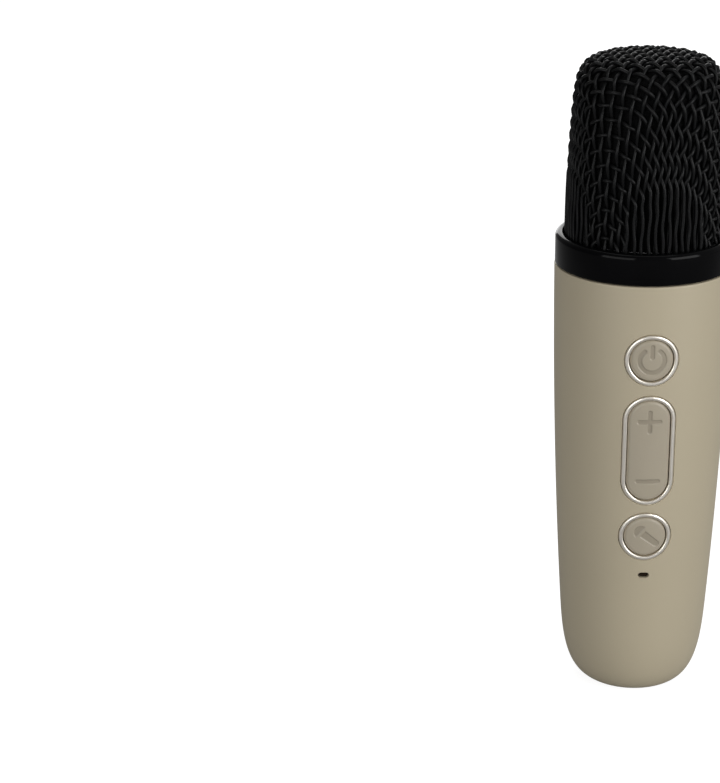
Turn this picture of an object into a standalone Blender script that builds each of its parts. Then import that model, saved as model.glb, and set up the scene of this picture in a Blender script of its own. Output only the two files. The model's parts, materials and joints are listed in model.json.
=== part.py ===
"""Wireless karaoke microphone, modelled as an assembly of its separate pieces.

Units are metres. The microphone stands on its flat base on z = 0, its long axis
is +Z and its buttons face -Y.
"""

import math

import bmesh
import bpy

MM = 0.001
GAP = 0.3 * MM                      # between two pieces that touch
WELD = 0.01 * MM
CUT_MARGIN = 1.0 * MM               # how far a cutting shape runs past what it cuts

# Driving dimensions: handle
HANDLE_RADIUS = 22.5 * MM           # at the rim
HANDLE_HEIGHT = 114.9 * MM
TAPER_SLOPE = -0.006                # radius change per metre of depth below the rim
TAPER_CURVE = -0.311                # and its change, per metre
BASE_EDGE_HEIGHT = 22.5 * MM        # where the taper turns into the round base
BASE_EDGE_HANDLE = 10.1 * MM        # how long the taper's direction is kept
BASE_SHOULDER_RADIUS = 17.8 * MM    # how far out the flat base's direction is kept
BASE_FLAT_RADIUS = 10.0 * MM
WALL = 2.0 * MM

# Driving dimensions: collar and head
COLLAR_RADIUS = 22.4 * MM
COLLAR_TOP = 123.0 * MM
COLLAR_ROUNDING = 1.3 * MM
COLLAR_FOOT = 106.0 * MM
GRILLE_RADIUS = 20.2 * MM
GRILLE_WALL = 0.6 * MM
WEAVE_DEPTH = 1.9 * MM              # room that the crimped wires take inside the outline
GRILLE_TOP = 168.7 * MM
GRILLE_SIDE_HEIGHT = 31.0 * MM      # above the collar, before the shoulder
GRILLE_SIDE_DRAFT = 1.05 * MM
CROWN_REACH = 17.5 * MM             # how far out the crown keeps level
SHOULDER_HANDLE = (18.2 * MM, 1.2 * MM)         # where the shoulder turns: radius, depth
LEDGE = 118.0 * MM                  # where the head rests in the collar
NECK_RADIUS = 17.3 * MM
NECK_FOOT = 111.3 * MM
FOAM_THICKNESS = 3.0 * MM

# Driving dimensions: controls, all in line on the front
BEZEL_WIDTH = 1.05 * MM
BEZEL_PROUD = 0.3 * MM
CAP_PROUD = 0.2 * MM
CONTROLS = {                        # height, half width, half length
    "power": (95.9 * MM, 6.7 * MM, 6.7 * MM),
    "volume": (71.7 * MM, 6.6 * MM, 14.85 * MM),
    "mode": (47.9 * MM, 6.65 * MM, 6.65 * MM),
}
WINDOW_HEIGHT = 36.9 * MM
WINDOW_HALF = (1.4 * MM, 0.75 * MM)
SWITCH_SPREAD = 8.0 * MM            # volume switches above and below the rocker's pin
WINDOW_RECESS = 0.35 * MM
WALL_CUT = (14.0 * MM, 26.0 * MM)   # distances from the axis that span the wall anywhere
BACK_CLEARANCE = 0.1 * MM
FLANGE_STEP = 1.15 * MM
FLANGE_THICKNESS = 1.0 * MM
STEM_RADIUS = 1.5 * MM
STEM_END = 15.2 * MM                # distances from the axis, towards the front
PIVOT = 15.5 * MM
ROCKER_BACK = 18.0 * MM

# Driving dimensions: inside
BOARD_FRONT = 10.2 * MM
BOARD_BACK = 8.6 * MM
BOARD_HALF_WIDTH = 10.5 * MM
BOARD_SPAN = (28.0 * MM, 104.0 * MM)
PART_FOOT = BOARD_FRONT + GAP
SWITCH_HALF = 3.0 * MM
SWITCH_TOP = 13.9 * MM
PLUNGER_RADIUS = 1.7 * MM
PLUNGER_TOP = STEM_END - GAP
SLED_FRONT = BOARD_BACK - GAP
SLED_THICKNESS = 1.5 * MM
SLED_HALF_WIDTH = 11.5 * MM
SLED_FOOT = 16.0 * MM
CELL_RADIUS = 9.15 * MM
CELL_LENGTH = 65.0 * MM
CONTACT_THICKNESS = 0.5 * MM
CELL_FOOT = SLED_FOOT + SLED_THICKNESS + CONTACT_THICKNESS + 2 * GAP
CELL_Y = SLED_THICKNESS - SLED_FRONT + GAP + CELL_RADIUS
CELL_SHELF = CELL_FOOT + CELL_LENGTH + CONTACT_THICKNESS + 2 * GAP
MOUNT_DISC = (107.7 * MM, 110.4 * MM)
CAPSULE_RADIUS = 8.0 * MM
CAPSULE_SPAN = (126.6 * MM, 139.0 * MM)
CHARGE_BOARD = (9.1 * MM, 10.1 * MM)
CHARGE_BOARD_RADIUS = 12.0 * MM
SOCKET_HALF = (4.47 * MM, 1.63 * MM)
SCREW_RADIUS = 0.9 * MM
SCREW_HEAD = (1.8 * MM, 1.2 * MM)   # radius, height
LEAD_RADIUS = 0.4 * MM

# Smaller inner sizes
MOUNT_RADIUS = 18.4 * MM
POST_RADIUS = 2.6 * MM
POST_HOLE_FOOT = 4.0 * MM
CHARGE_SCREW_X = 9.0 * MM
MOUNT_SCREW_X = 9.0 * MM
MOUNT_SCREW_Y = -1.0 * MM
PIN_RADIUS = 0.75 * MM
PIN_HALF_LENGTH = 3.8 * MM
WEB_HALF = 2.0 * MM
WEB_FOOT = 13.6 * MM
BRACKET_HALF = 2.2 * MM
BRACKET_FLOOR = 12.0 * MM
BRACKET_TOP = 17.6 * MM
WELL_FLOOR = 11.2 * MM
PLUNGER_FOOT = 11.9 * MM
LED_SIZE = (2.0 * MM, 1.2 * MM, 0.9 * MM)
SHELF_DEPTH = 10.0 * MM
LUG_DEPTH = 2.0 * MM
NOTCH = (13.0 * MM, 20.0 * MM, 10.0 * MM)
NOTCH_FOOT = 103.0 * MM
CONTACT_SPAN = (-4.0 * MM, 10.8 * MM)
CONTACT_WIDTH = 5.0 * MM
CELL_NUB = (3.0 * MM, 0.8 * MM)     # radius, height
PAD_SIZE = (10 * MM, 4.6 * MM, 40 * MM)
PAD_HEIGHT = 56.0 * MM
CAPACITOR = (2.5 * MM, 5.5 * MM)    # radius, height
CAPACITOR_PLACE = (-7.0 * MM, 76.0 * MM)        # x, height
SOCKET_WALL = 0.35 * MM
SOCKET_DEPTH = 6.2 * MM
SOCKET_MOUTH = (0.5 * MM, 1.4 * MM)     # heights where it starts, and where its tongue does
TONGUE_HALF = (3.56 * MM, 0.35 * MM)
BOOT_WALL = 2.5 * MM
BOOT_RIB = 0.8 * MM
MOUNT_BORE = 3.0 * MM
MOUNT_POST = 6.0 * MM
MOUNT_CUP = (1.5 * MM, 4.0 * MM)    # depth of its rim, and of its cone, under the capsule
CAPSULE_EDGE = 0.6 * MM
FELT_THICKNESS = 0.8 * MM
RING_FLANGE = 1.1 * MM              # of the ring that the wire cup is crimped in
NECK_WALL = 1.2 * MM
UPSTAND_DEPTH = 0.4 * MM            # its top is this far under the collar's
BOARD_SCREWS = (                    # name, x, height
    ("board_screw_upper", 7.3 * MM, 100.8 * MM),
    ("board_screw_lower", -7.3 * MM, 30.8 * MM),
)
BOARD_PARTS = (                     # name, size, x, height, material, lift off the board
    ("audio_processor", (7 * MM, 7 * MM, 1 * MM), -6 * MM, 56.1 * MM, "chip_epoxy", 0.0),
    ("wireless_module", (8 * MM, 7.4 * MM, 0.6 * MM), 5.5 * MM, 56.1 * MM, "circuit_board", 0.0),
    ("module_shield", (7 * MM, 6.2 * MM, 1.6 * MM), 5.5 * MM, 56.1 * MM, "capsule_metal",
     0.6 * MM + GAP),
    ("antenna_strip", (2.6 * MM, 24 * MM, 0.4 * MM), 8.5 * MM, 75 * MM, "screw_steel", 0.0),
    ("capsule_connector", (5 * MM, 4 * MM, 3.5 * MM), -6.5 * MM, 88 * MM, "connector_nylon", 0.0),
    ("cell_connector", (5 * MM, 4 * MM, 3.5 * MM), 6.5 * MM, 36 * MM, "connector_nylon", 0.0),
    ("charge_connector", (5 * MM, 4 * MM, 3.5 * MM), -6.5 * MM, 36 * MM, "connector_nylon", 0.0),
)
LEADS = {                           # material, route in millimetres
    "capsule_lead_red": ("lead_red", (
        (-5.9, -12.6, 90.3), (-5.4, -12.8, 97.0), (-3.4, -12.0, 103.6), (0.0, -7.6, 105.9),
        (0.9, -2.6, 106.6), (0.9, -0.4, 109.5), (0.9, 0.0, 116.0), (0.9, 0.0, 126.1))),
    "capsule_lead_black": ("lead_black", (
        (-7.1, -12.6, 90.3), (-6.9, -12.8, 97.0), (-5.2, -12.0, 103.6), (-2.2, -7.6, 105.9),
        (-1.2, -2.6, 106.6), (-0.9, -0.4, 109.5), (-0.9, 0.0, 116.0), (-0.9, 0.0, 126.1))),
    "cell_lead_red": ("lead_red", (
        (11.5, 2.65, 84.2), (13.2, 1.6, 80.0), (13.6, -2.0, 60.0), (13.4, -5.0, 42.0),
        (12.4, -9.6, 34.0), (9.6, -12.6, 30.5), (7.3, -12.9, 31.2), (7.1, -12.9, 33.7))),
    "cell_lead_black": ("lead_black", (
        (11.5, 2.65, 18.1), (13.0, 1.0, 20.5), (13.2, -4.0, 25.5), (11.4, -9.6, 27.6),
        (7.9, -12.9, 28.6), (6.2, -12.9, 30.6), (5.9, -12.9, 33.7))),
    "charge_lead_red": ("lead_red", (
        (-4.6, -8.6, 10.8), (-5.0, -10.6, 16.0), (-5.8, -12.6, 24.0), (-5.9, -12.9, 33.7))),
    "charge_lead_black": ("lead_black", (
        (-6.6, -8.2, 10.8), (-7.0, -10.8, 16.0), (-7.3, -12.8, 24.0), (-7.1, -12.9, 33.7))),
}

LARGE_ROUND = 36                    # sides of a large turned piece
MEDIUM_ROUND = 24
SMALL_ROUND = 14
SHARP_ANGLE = math.radians(35)
FACING_FRONT = (math.pi / 2, 0.0, 0.0)          # local Z points away from the axis, to the front
ACROSS = (0.0, math.pi / 2, 0.0)                # local Z points to +X

MATERIALS = {                       # base colour, roughness, metallic
    "body_plastic": ((0.40, 0.35, 0.26), 0.45, 0.0),
    "cap_plastic": ((0.37, 0.33, 0.26), 0.50, 0.0),
    "collar_plastic": ((0.006, 0.006, 0.007), 0.08, 0.0),
    "bright_trim": ((0.72, 0.71, 0.69), 0.18, 1.0),
    "grille_wire": ((0.012, 0.012, 0.013), 0.35, 0.6),
    "smoked_window": ((0.02, 0.013, 0.008), 0.15, 0.0),
    "windscreen_foam": ((0.015, 0.015, 0.016), 0.95, 0.0),
    "inner_plastic": ((0.03, 0.03, 0.032), 0.55, 0.0),
    "boot_rubber": ((0.02, 0.02, 0.02), 0.8, 0.0),
    "capsule_metal": ((0.55, 0.55, 0.56), 0.3, 1.0),
    "felt": ((0.05, 0.05, 0.055), 0.95, 0.0),
    "circuit_board": ((0.01, 0.09, 0.04), 0.4, 0.0),
    "chip_epoxy": ((0.02, 0.02, 0.022), 0.5, 0.0),
    "connector_nylon": ((0.75, 0.73, 0.66), 0.5, 0.0),
    "led_resin": ((0.8, 0.8, 0.7), 0.3, 0.0),
    "screw_steel": ((0.5, 0.5, 0.5), 0.3, 1.0),
    "cell_sleeve": ((0.02, 0.12, 0.35), 0.35, 0.0),
    "pad_foam": ((0.06, 0.06, 0.065), 0.95, 0.0),
    "lead_red": ((0.45, 0.02, 0.02), 0.5, 0.0),
    "lead_black": ((0.015, 0.015, 0.015), 0.5, 0.0),
}


def clear_scene():
    """Remove every object that the file opened with."""
    for obj in list(bpy.data.objects):
        bpy.data.objects.remove(obj, do_unlink=True)


def new_collection(name):
    """Make a collection in the scene."""
    collection = bpy.data.collections.new(name)
    bpy.context.scene.collection.children.link(collection)
    return collection


def material(name):
    """Return the named material, made the first time that it is asked for."""
    found = bpy.data.materials.get(name)
    if found:
        return found
    colour, roughness, metallic = MATERIALS[name]
    made = bpy.data.materials.new(name)
    made.use_nodes = True
    shader = made.node_tree.nodes["Principled BSDF"]
    shader.inputs["Base Color"].default_value = (*colour, 1.0)
    shader.inputs["Roughness"].default_value = roughness
    shader.inputs["Metallic"].default_value = metallic
    return made


# Shapes: each returns a mesh in its own frame

def box_mesh(size):
    """A box of the given size, centred on its origin."""
    mesh = bpy.data.meshes.new("box")
    shape = bmesh.new()
    bmesh.ops.create_cube(shape, size=1.0)
    bmesh.ops.scale(shape, vec=size, verts=shape.verts)
    shape.to_mesh(mesh)
    shape.free()
    return mesh


def smooth_shaded(mesh):
    """Shade a round shape smooth, and keep its corners sharp."""
    mesh.shade_smooth()
    mesh.set_sharp_from_angle(angle=SHARP_ANGLE)
    return mesh


def evaluated_mesh(data, modify=None):
    """The welded mesh of a curve, or of a profile once its modifier is added."""
    temporary = bpy.data.objects.new("temporary", data)
    bpy.context.scene.collection.objects.link(temporary)
    if modify:
        modify(temporary)
    graph = bpy.context.evaluated_depsgraph_get()
    mesh = bpy.data.meshes.new_from_object(temporary.evaluated_get(graph))
    shape = bmesh.new()
    shape.from_mesh(mesh)
    bmesh.ops.remove_doubles(shape, verts=shape.verts, dist=WELD)
    shape.to_mesh(mesh)
    shape.free()
    bpy.data.objects.remove(temporary)
    return smooth_shaded(mesh)


def turned_mesh(points, closed=True, sides=LARGE_ROUND):
    """A profile of (radius, height) turned about Z. Its outer side runs downwards."""
    profile = bpy.data.meshes.new("profile")
    edges = [(i, i + 1) for i in range(len(points) - 1)]
    if closed:
        edges.append((len(points) - 1, 0))
    profile.from_pydata([(radius, 0.0, height) for radius, height in points], edges, [])

    def turn(obj):
        screw = obj.modifiers.new("turn", "SCREW")
        screw.steps = sides
        screw.render_steps = sides
        screw.use_merge_vertices = True
        screw.merge_threshold = WELD

    return evaluated_mesh(profile, turn)


def prism_mesh(outlines, low, high):
    """A flat outline, with holes if more than one is given, from low to high."""
    curve = bpy.data.curves.new("outline", "CURVE")
    curve.dimensions = "2D"
    curve.fill_mode = "BOTH"
    curve.extrude = (high - low) / 2
    for outline in outlines:
        spline = curve.splines.new("POLY")
        spline.points.add(len(outline) - 1)
        for point, (x, y) in zip(spline.points, outline):
            point.co = (x, y, 0.0, 1.0)
        spline.use_cyclic_u = True
    mesh = evaluated_mesh(curve)
    for vertex in mesh.vertices:
        vertex.co.z += (low + high) / 2
    return mesh


def stadium(half_width, half_length, sides=SMALL_ROUND):
    """A slot outline with round ends along its longer half, or a circle."""
    radius = min(half_width, half_length)
    shift_x = half_width - radius
    shift_y = half_length - radius
    points = []
    for i in range(2 * sides):
        angle = 2 * math.pi * (i + 0.5) / (2 * sides)
        x = radius * math.cos(angle)
        y = radius * math.sin(angle)
        points.append((x + math.copysign(shift_x, x), y + math.copysign(shift_y, y)))
    return points


def arc(centre, radius, start_degrees, end_degrees, steps):
    """Points along a round corner of a profile."""
    points = []
    for i in range(steps + 1):
        angle = math.radians(start_degrees + (end_degrees - start_degrees) * i / steps)
        points.append((centre[0] + radius * math.cos(angle), centre[1] + radius * math.sin(angle)))
    return points


def bezier(start, first, second, end, steps):
    """Points along a cubic curve, with both ends."""
    points = []
    for i in range(steps + 1):
        t = i / steps
        weights = ((1 - t) ** 3, 3 * t * (1 - t) ** 2, 3 * t * t * (1 - t), t ** 3)
        controls = (start, first, second, end)
        points.append(tuple(sum(w * c[k] for w, c in zip(weights, controls)) for k in range(2)))
    return points


def smooth_route(points, steps):
    """Points of a smooth line that passes through every point of a lead's route."""
    padded = [points[0], *points, points[-1]]
    route = []
    for before, here, there, after in zip(padded, padded[1:], padded[2:], padded[3:]):
        for i in range(steps):
            t = i / steps
            route.append(tuple(
                0.5 * (2 * b + (c - a) * t + (2 * a - 5 * b + 4 * c - d) * t * t
                       + (3 * b - a - 3 * c + d) * t ** 3)
                for a, b, c, d in zip(before, here, there, after)))
    route.append(points[-1])
    return route


# Objects

def place(name, mesh, slot, location=(0.0, 0.0, 0.0), rotation=(0.0, 0.0, 0.0)):
    """Add a piece of the microphone."""
    obj = bpy.data.objects.new(name, mesh)
    mesh.name = name
    mesh.materials.append(material(slot))
    obj.location = location
    obj.rotation_euler = rotation
    PARTS.objects.link(obj)
    return obj


def tool(name, mesh, location=(0.0, 0.0, 0.0), rotation=(0.0, 0.0, 0.0)):
    """Add a shape that only cuts, joins or trims a piece."""
    obj = bpy.data.objects.new(name, mesh)
    obj.location = location
    obj.rotation_euler = rotation
    obj.hide_render = True
    obj.display_type = "WIRE"
    TOOLS.objects.link(obj)
    return obj


def combine(target, other, operation):
    """Apply a tool to a piece: DIFFERENCE, UNION or INTERSECT."""
    modifier = target.modifiers.new(other.name, "BOOLEAN")
    modifier.operation = operation
    modifier.object = other
    return modifier


# Outlines of the outside

def body_radius(height):
    """The handle's outer radius on its tapered length."""
    depth = HANDLE_HEIGHT - height
    return HANDLE_RADIUS + TAPER_SLOPE * depth + TAPER_CURVE * depth * depth


def handle_profile():
    """The handle's outside, from its rim down to the middle of its base."""
    taper_steps = 5
    taper_height = HANDLE_HEIGHT - BASE_EDGE_HEIGHT
    heights = [HANDLE_HEIGHT - taper_height * i / taper_steps for i in range(taper_steps)]
    points = [(body_radius(height), height) for height in heights]
    edge_radius = body_radius(BASE_EDGE_HEIGHT)
    edge_slope = TAPER_SLOPE + 2 * TAPER_CURVE * taper_height
    points += bezier(
        (edge_radius, BASE_EDGE_HEIGHT),
        (edge_radius + edge_slope * BASE_EDGE_HANDLE, BASE_EDGE_HEIGHT - BASE_EDGE_HANDLE),
        (BASE_SHOULDER_RADIUS, 0.0),
        (BASE_FLAT_RADIUS, 0.0),
        6)
    points.append((0.0, 0.0))
    return points


def grille_profile(inset, foot):
    """The wire cup's outside, or a surface inside it, from its crown down to its foot."""
    side_top = COLLAR_TOP + GRILLE_SIDE_HEIGHT
    top_radius = GRILLE_RADIUS - GRILLE_SIDE_DRAFT
    crown = bezier(
        (inset, GRILLE_TOP - inset),
        (CROWN_REACH - inset, GRILLE_TOP - inset),
        (SHOULDER_HANDLE[0] - inset, GRILLE_TOP - SHOULDER_HANDLE[1] - inset),
        (top_radius - inset, side_top),
        6)
    crown[0] = (0.0, GRILLE_TOP - inset)
    points = list(crown)
    for share in (0.67, 0.33):
        radius = GRILLE_RADIUS - GRILLE_SIDE_DRAFT * share * share
        points.append((radius - inset, COLLAR_TOP + GRILLE_SIDE_HEIGHT * share))
    points.append((GRILLE_RADIUS - inset, foot))
    return points


def skin_tool(name, proud):
    """A solid that trims a control to the handle's curved surface."""
    steps = 6
    low = WINDOW_HEIGHT - 4 * WINDOW_HALF[0]
    high = HANDLE_HEIGHT - CUT_MARGIN
    points = [(0.0, high)]
    for i in range(steps + 1):
        height = high - (high - low) * i / steps
        points.append((body_radius(height) + proud, height))
    points.append((0.0, low))
    return tool(name, turned_mesh(points, closed=False, sides=2 * LARGE_ROUND))


# Handle

def build_body_shell():
    """The one-piece handle with its windows, its port and two posts for the charging board."""
    shell = place("body_shell", turned_mesh(handle_profile(), closed=False), "body_plastic")
    solid = shell.modifiers.new("wall", "SOLIDIFY")
    solid.thickness = WALL
    solid.offset = -1.0
    solid.use_even_offset = True
    for side in (-1, 1):
        post = turned_mesh(
            [(0.0, CHARGE_BOARD[0] - GAP), (POST_RADIUS, CHARGE_BOARD[0] - GAP),
             (POST_RADIUS, WALL / 2), (0.0, WALL / 2)], closed=False, sides=SMALL_ROUND)
        combine(shell, tool(f"post_{side}", post, (side * CHARGE_SCREW_X, 0.0, 0.0)), "UNION")
        hole = turned_mesh(
            [(0.0, CHARGE_BOARD[0]), (SCREW_RADIUS + GAP, CHARGE_BOARD[0]),
             (SCREW_RADIUS + GAP, POST_HOLE_FOOT), (0.0, POST_HOLE_FOOT)],
            closed=False, sides=SMALL_ROUND)
        combine(shell, tool(f"post_hole_{side}", hole, (side * CHARGE_SCREW_X, 0.0, 0.0)),
                "DIFFERENCE")
    for name, (height, half_width, half_length) in CONTROLS.items():
        window = prism_mesh([stadium(half_width + GAP, half_length + GAP)], *WALL_CUT)
        combine(shell, tool(f"{name}_window", window, (0.0, 0.0, height), FACING_FRONT),
                "DIFFERENCE")
    slot = prism_mesh([stadium(*WINDOW_HALF)], *WALL_CUT)
    combine(shell, tool("indicator_slot", slot, (0.0, 0.0, WINDOW_HEIGHT), FACING_FRONT),
            "DIFFERENCE")
    port = prism_mesh([stadium(SOCKET_HALF[0] + GAP, SOCKET_HALF[1] + GAP)], -WALL, 2 * WALL)
    combine(shell, tool("port", port), "DIFFERENCE")


def build_collar():
    """The glossy ring, with the spigot that is bonded in the handle."""
    corner = (COLLAR_RADIUS - COLLAR_ROUNDING, COLLAR_TOP - COLLAR_ROUNDING)
    bore = GRILLE_RADIUS + GAP
    neck_bore = NECK_RADIUS + GAP
    spigot = HANDLE_RADIUS - WALL - GAP
    shoulder = MOUNT_DISC[1] + GAP
    points = [(bore, COLLAR_TOP)]
    points += arc(corner, COLLAR_ROUNDING, 90, 0, 3)
    points += [
        (COLLAR_RADIUS, HANDLE_HEIGHT + GAP), (spigot, HANDLE_HEIGHT + GAP),
        (spigot, COLLAR_FOOT), (MOUNT_RADIUS + GAP, COLLAR_FOOT),
        (MOUNT_RADIUS + GAP, shoulder), (neck_bore, shoulder),
        (neck_bore, LEDGE), (bore, LEDGE)]
    place("collar_ring", turned_mesh(points), "collar_plastic")


def bezel_back(height, half_width):
    """How far from the axis a trim ring's flat back is."""
    return math.sqrt((body_radius(height) - WALL) ** 2 - half_width ** 2) - BACK_CLEARANCE


def build_bezels(skin):
    """Trim rings round the three controls, flush with the handle's curve."""
    for name, (height, half_width, half_length) in CONTROLS.items():
        inner = stadium(half_width - BEZEL_WIDTH, half_length - BEZEL_WIDTH)
        ring = prism_mesh([stadium(half_width, half_length), inner],
                          bezel_back(height, half_width), WALL_CUT[1])
        bezel = place(f"{name}_bezel", ring, "bright_trim", (0.0, 0.0, height), FACING_FRONT)
        combine(bezel, skin, "INTERSECT")


def build_round_button(name, skin):
    """A round button with the flange behind its trim ring, a stem and its switch plunger."""
    height, half_width, _ = CONTROLS[name]
    cap_radius = half_width - BEZEL_WIDTH - GAP
    flange = bezel_back(height, half_width) - GAP
    points = [
        (0.0, WALL_CUT[1]), (cap_radius, WALL_CUT[1]), (cap_radius, flange),
        (cap_radius + FLANGE_STEP, flange), (cap_radius + FLANGE_STEP, flange - FLANGE_THICKNESS),
        (STEM_RADIUS, flange - FLANGE_THICKNESS), (STEM_RADIUS, STEM_END), (0.0, STEM_END)]
    cap = place(f"{name}_button", turned_mesh(points, closed=False), "cap_plastic",
                (0.0, 0.0, height), FACING_FRONT)
    combine(cap, skin, "INTERSECT")


def build_volume_rocker(skin):
    """The long cap, its web with the pin's hole, and a stem for each volume switch."""
    height, half_width, half_length = CONTROLS["volume"]
    inset = BEZEL_WIDTH + GAP
    cap_mesh = prism_mesh([stadium(half_width - inset, half_length - inset)],
                          ROCKER_BACK - PIVOT, WALL_CUT[1] - PIVOT)
    rocker = place("volume_rocker", cap_mesh, "cap_plastic", (0.0, -PIVOT, height), FACING_FRONT)
    web_height = ROCKER_BACK - WEB_FOOT + GAP
    web = tool("rocker_web", box_mesh((2 * WEB_HALF, 2 * WEB_HALF, web_height)),
               (0.0, -(WEB_FOOT + web_height / 2), height), FACING_FRONT)
    combine(rocker, web, "UNION")
    for side in (-1, 1):
        stem = turned_mesh(
            [(0.0, ROCKER_BACK + GAP), (STEM_RADIUS, ROCKER_BACK + GAP),
             (STEM_RADIUS, STEM_END), (0.0, STEM_END)], closed=False, sides=SMALL_ROUND)
        combine(rocker, tool(f"rocker_stem_{side}", stem,
                             (0.0, 0.0, height + side * SWITCH_SPREAD), FACING_FRONT), "UNION")
    combine(rocker, pin_hole_tool(), "DIFFERENCE")
    combine(rocker, skin, "INTERSECT")


def pin_hole_tool():
    """The rocker pin's running hole, across the handle."""
    found = bpy.data.objects.get("pin_hole")
    if found:
        return found
    half = PIN_HALF_LENGTH + CUT_MARGIN
    hole = turned_mesh([(0.0, half), (PIN_RADIUS + GAP, half), (PIN_RADIUS + GAP, -half),
                        (0.0, -half)], closed=False, sides=SMALL_ROUND)
    return tool("pin_hole", hole, (0.0, -PIVOT, CONTROLS["volume"][0]), ACROSS)


def build_rocker_pivot():
    """The steel pin, and the bracket on the board that holds it."""
    height = CONTROLS["volume"][0]
    pin = turned_mesh([(0.0, PIN_HALF_LENGTH), (PIN_RADIUS, PIN_HALF_LENGTH),
                       (PIN_RADIUS, -PIN_HALF_LENGTH), (0.0, -PIN_HALF_LENGTH)],
                      closed=False, sides=SMALL_ROUND)
    place("rocker_pin", pin, "screw_steel", (0.0, -PIVOT, height), ACROSS)
    slot = WEB_HALF + GAP
    outline = [
        (-PIN_HALF_LENGTH, PART_FOOT), (PIN_HALF_LENGTH, PART_FOOT),
        (PIN_HALF_LENGTH, BRACKET_TOP), (slot, BRACKET_TOP), (slot, BRACKET_FLOOR),
        (-slot, BRACKET_FLOOR), (-slot, BRACKET_TOP), (-PIN_HALF_LENGTH, BRACKET_TOP)]
    bracket = place("rocker_bracket", prism_mesh([outline], -BRACKET_HALF, BRACKET_HALF),
                    "inner_plastic", (0.0, 0.0, height), (math.pi, 0.0, 0.0))
    combine(bracket, pin_hole_tool(), "DIFFERENCE")


def build_switch(name, height):
    """A tact switch: its housing on the board, and the plunger that a stem presses."""
    depth = SWITCH_TOP - PART_FOOT
    housing = place(f"{name}_switch", box_mesh((2 * SWITCH_HALF, 2 * SWITCH_HALF, depth)),
                    "chip_epoxy", (0.0, -(PART_FOOT + depth / 2), height), FACING_FRONT)
    well = turned_mesh(
        [(0.0, SWITCH_TOP + GAP), (PLUNGER_RADIUS + GAP, SWITCH_TOP + GAP),
         (PLUNGER_RADIUS + GAP, WELL_FLOOR), (0.0, WELL_FLOOR)], closed=False, sides=SMALL_ROUND)
    combine(housing, tool(f"{name}_well", well, (0.0, 0.0, height), FACING_FRONT), "DIFFERENCE")
    plunger = turned_mesh(
        [(0.0, PLUNGER_TOP), (PLUNGER_RADIUS, PLUNGER_TOP), (PLUNGER_RADIUS, PLUNGER_FOOT),
         (0.0, PLUNGER_FOOT)], closed=False, sides=SMALL_ROUND)
    place(f"{name}_plunger", plunger, "connector_nylon", (0.0, 0.0, height), FACING_FRONT)


def build_indicator():
    """The light pipe in the slot, and the LED behind it."""
    pipe = prism_mesh([stadium(WINDOW_HALF[0] - GAP, WINDOW_HALF[1] - GAP)],
                      PART_FOOT + LED_SIZE[2] + GAP, WALL_CUT[1])
    lens = place("indicator_window", pipe, "smoked_window", (0.0, 0.0, WINDOW_HEIGHT),
                 FACING_FRONT)
    combine(lens, skin_tool("recessed_skin", -WINDOW_RECESS), "INTERSECT")
    place_on_board("indicator_led", LED_SIZE, 0.0, WINDOW_HEIGHT, "led_resin")


# Inside the handle

def place_on_board(name, size, x, height, slot, lift=0.0):
    """Add a block on the board's front: size is across, up and away from the board."""
    return place(name, box_mesh(size), slot,
                 (x, -(PART_FOOT + lift + size[2] / 2), height), FACING_FRONT)


def screw_mesh(length):
    """A pan head screw whose head rests at height 0 and whose shank goes down."""
    head_radius, head_height = SCREW_HEAD
    return turned_mesh(
        [(0.0, head_height), (head_radius * 0.8, head_height), (head_radius, head_height * 0.6),
         (head_radius, 0.0), (SCREW_RADIUS, 0.0), (SCREW_RADIUS, -length), (0.0, -length)],
        closed=False, sides=SMALL_ROUND)


def hole_mesh(low, high):
    """A screw's clearance hole."""
    radius = SCREW_RADIUS + GAP
    return turned_mesh([(0.0, high), (radius, high), (radius, low), (0.0, low)],
                       closed=False, sides=SMALL_ROUND)


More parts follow.
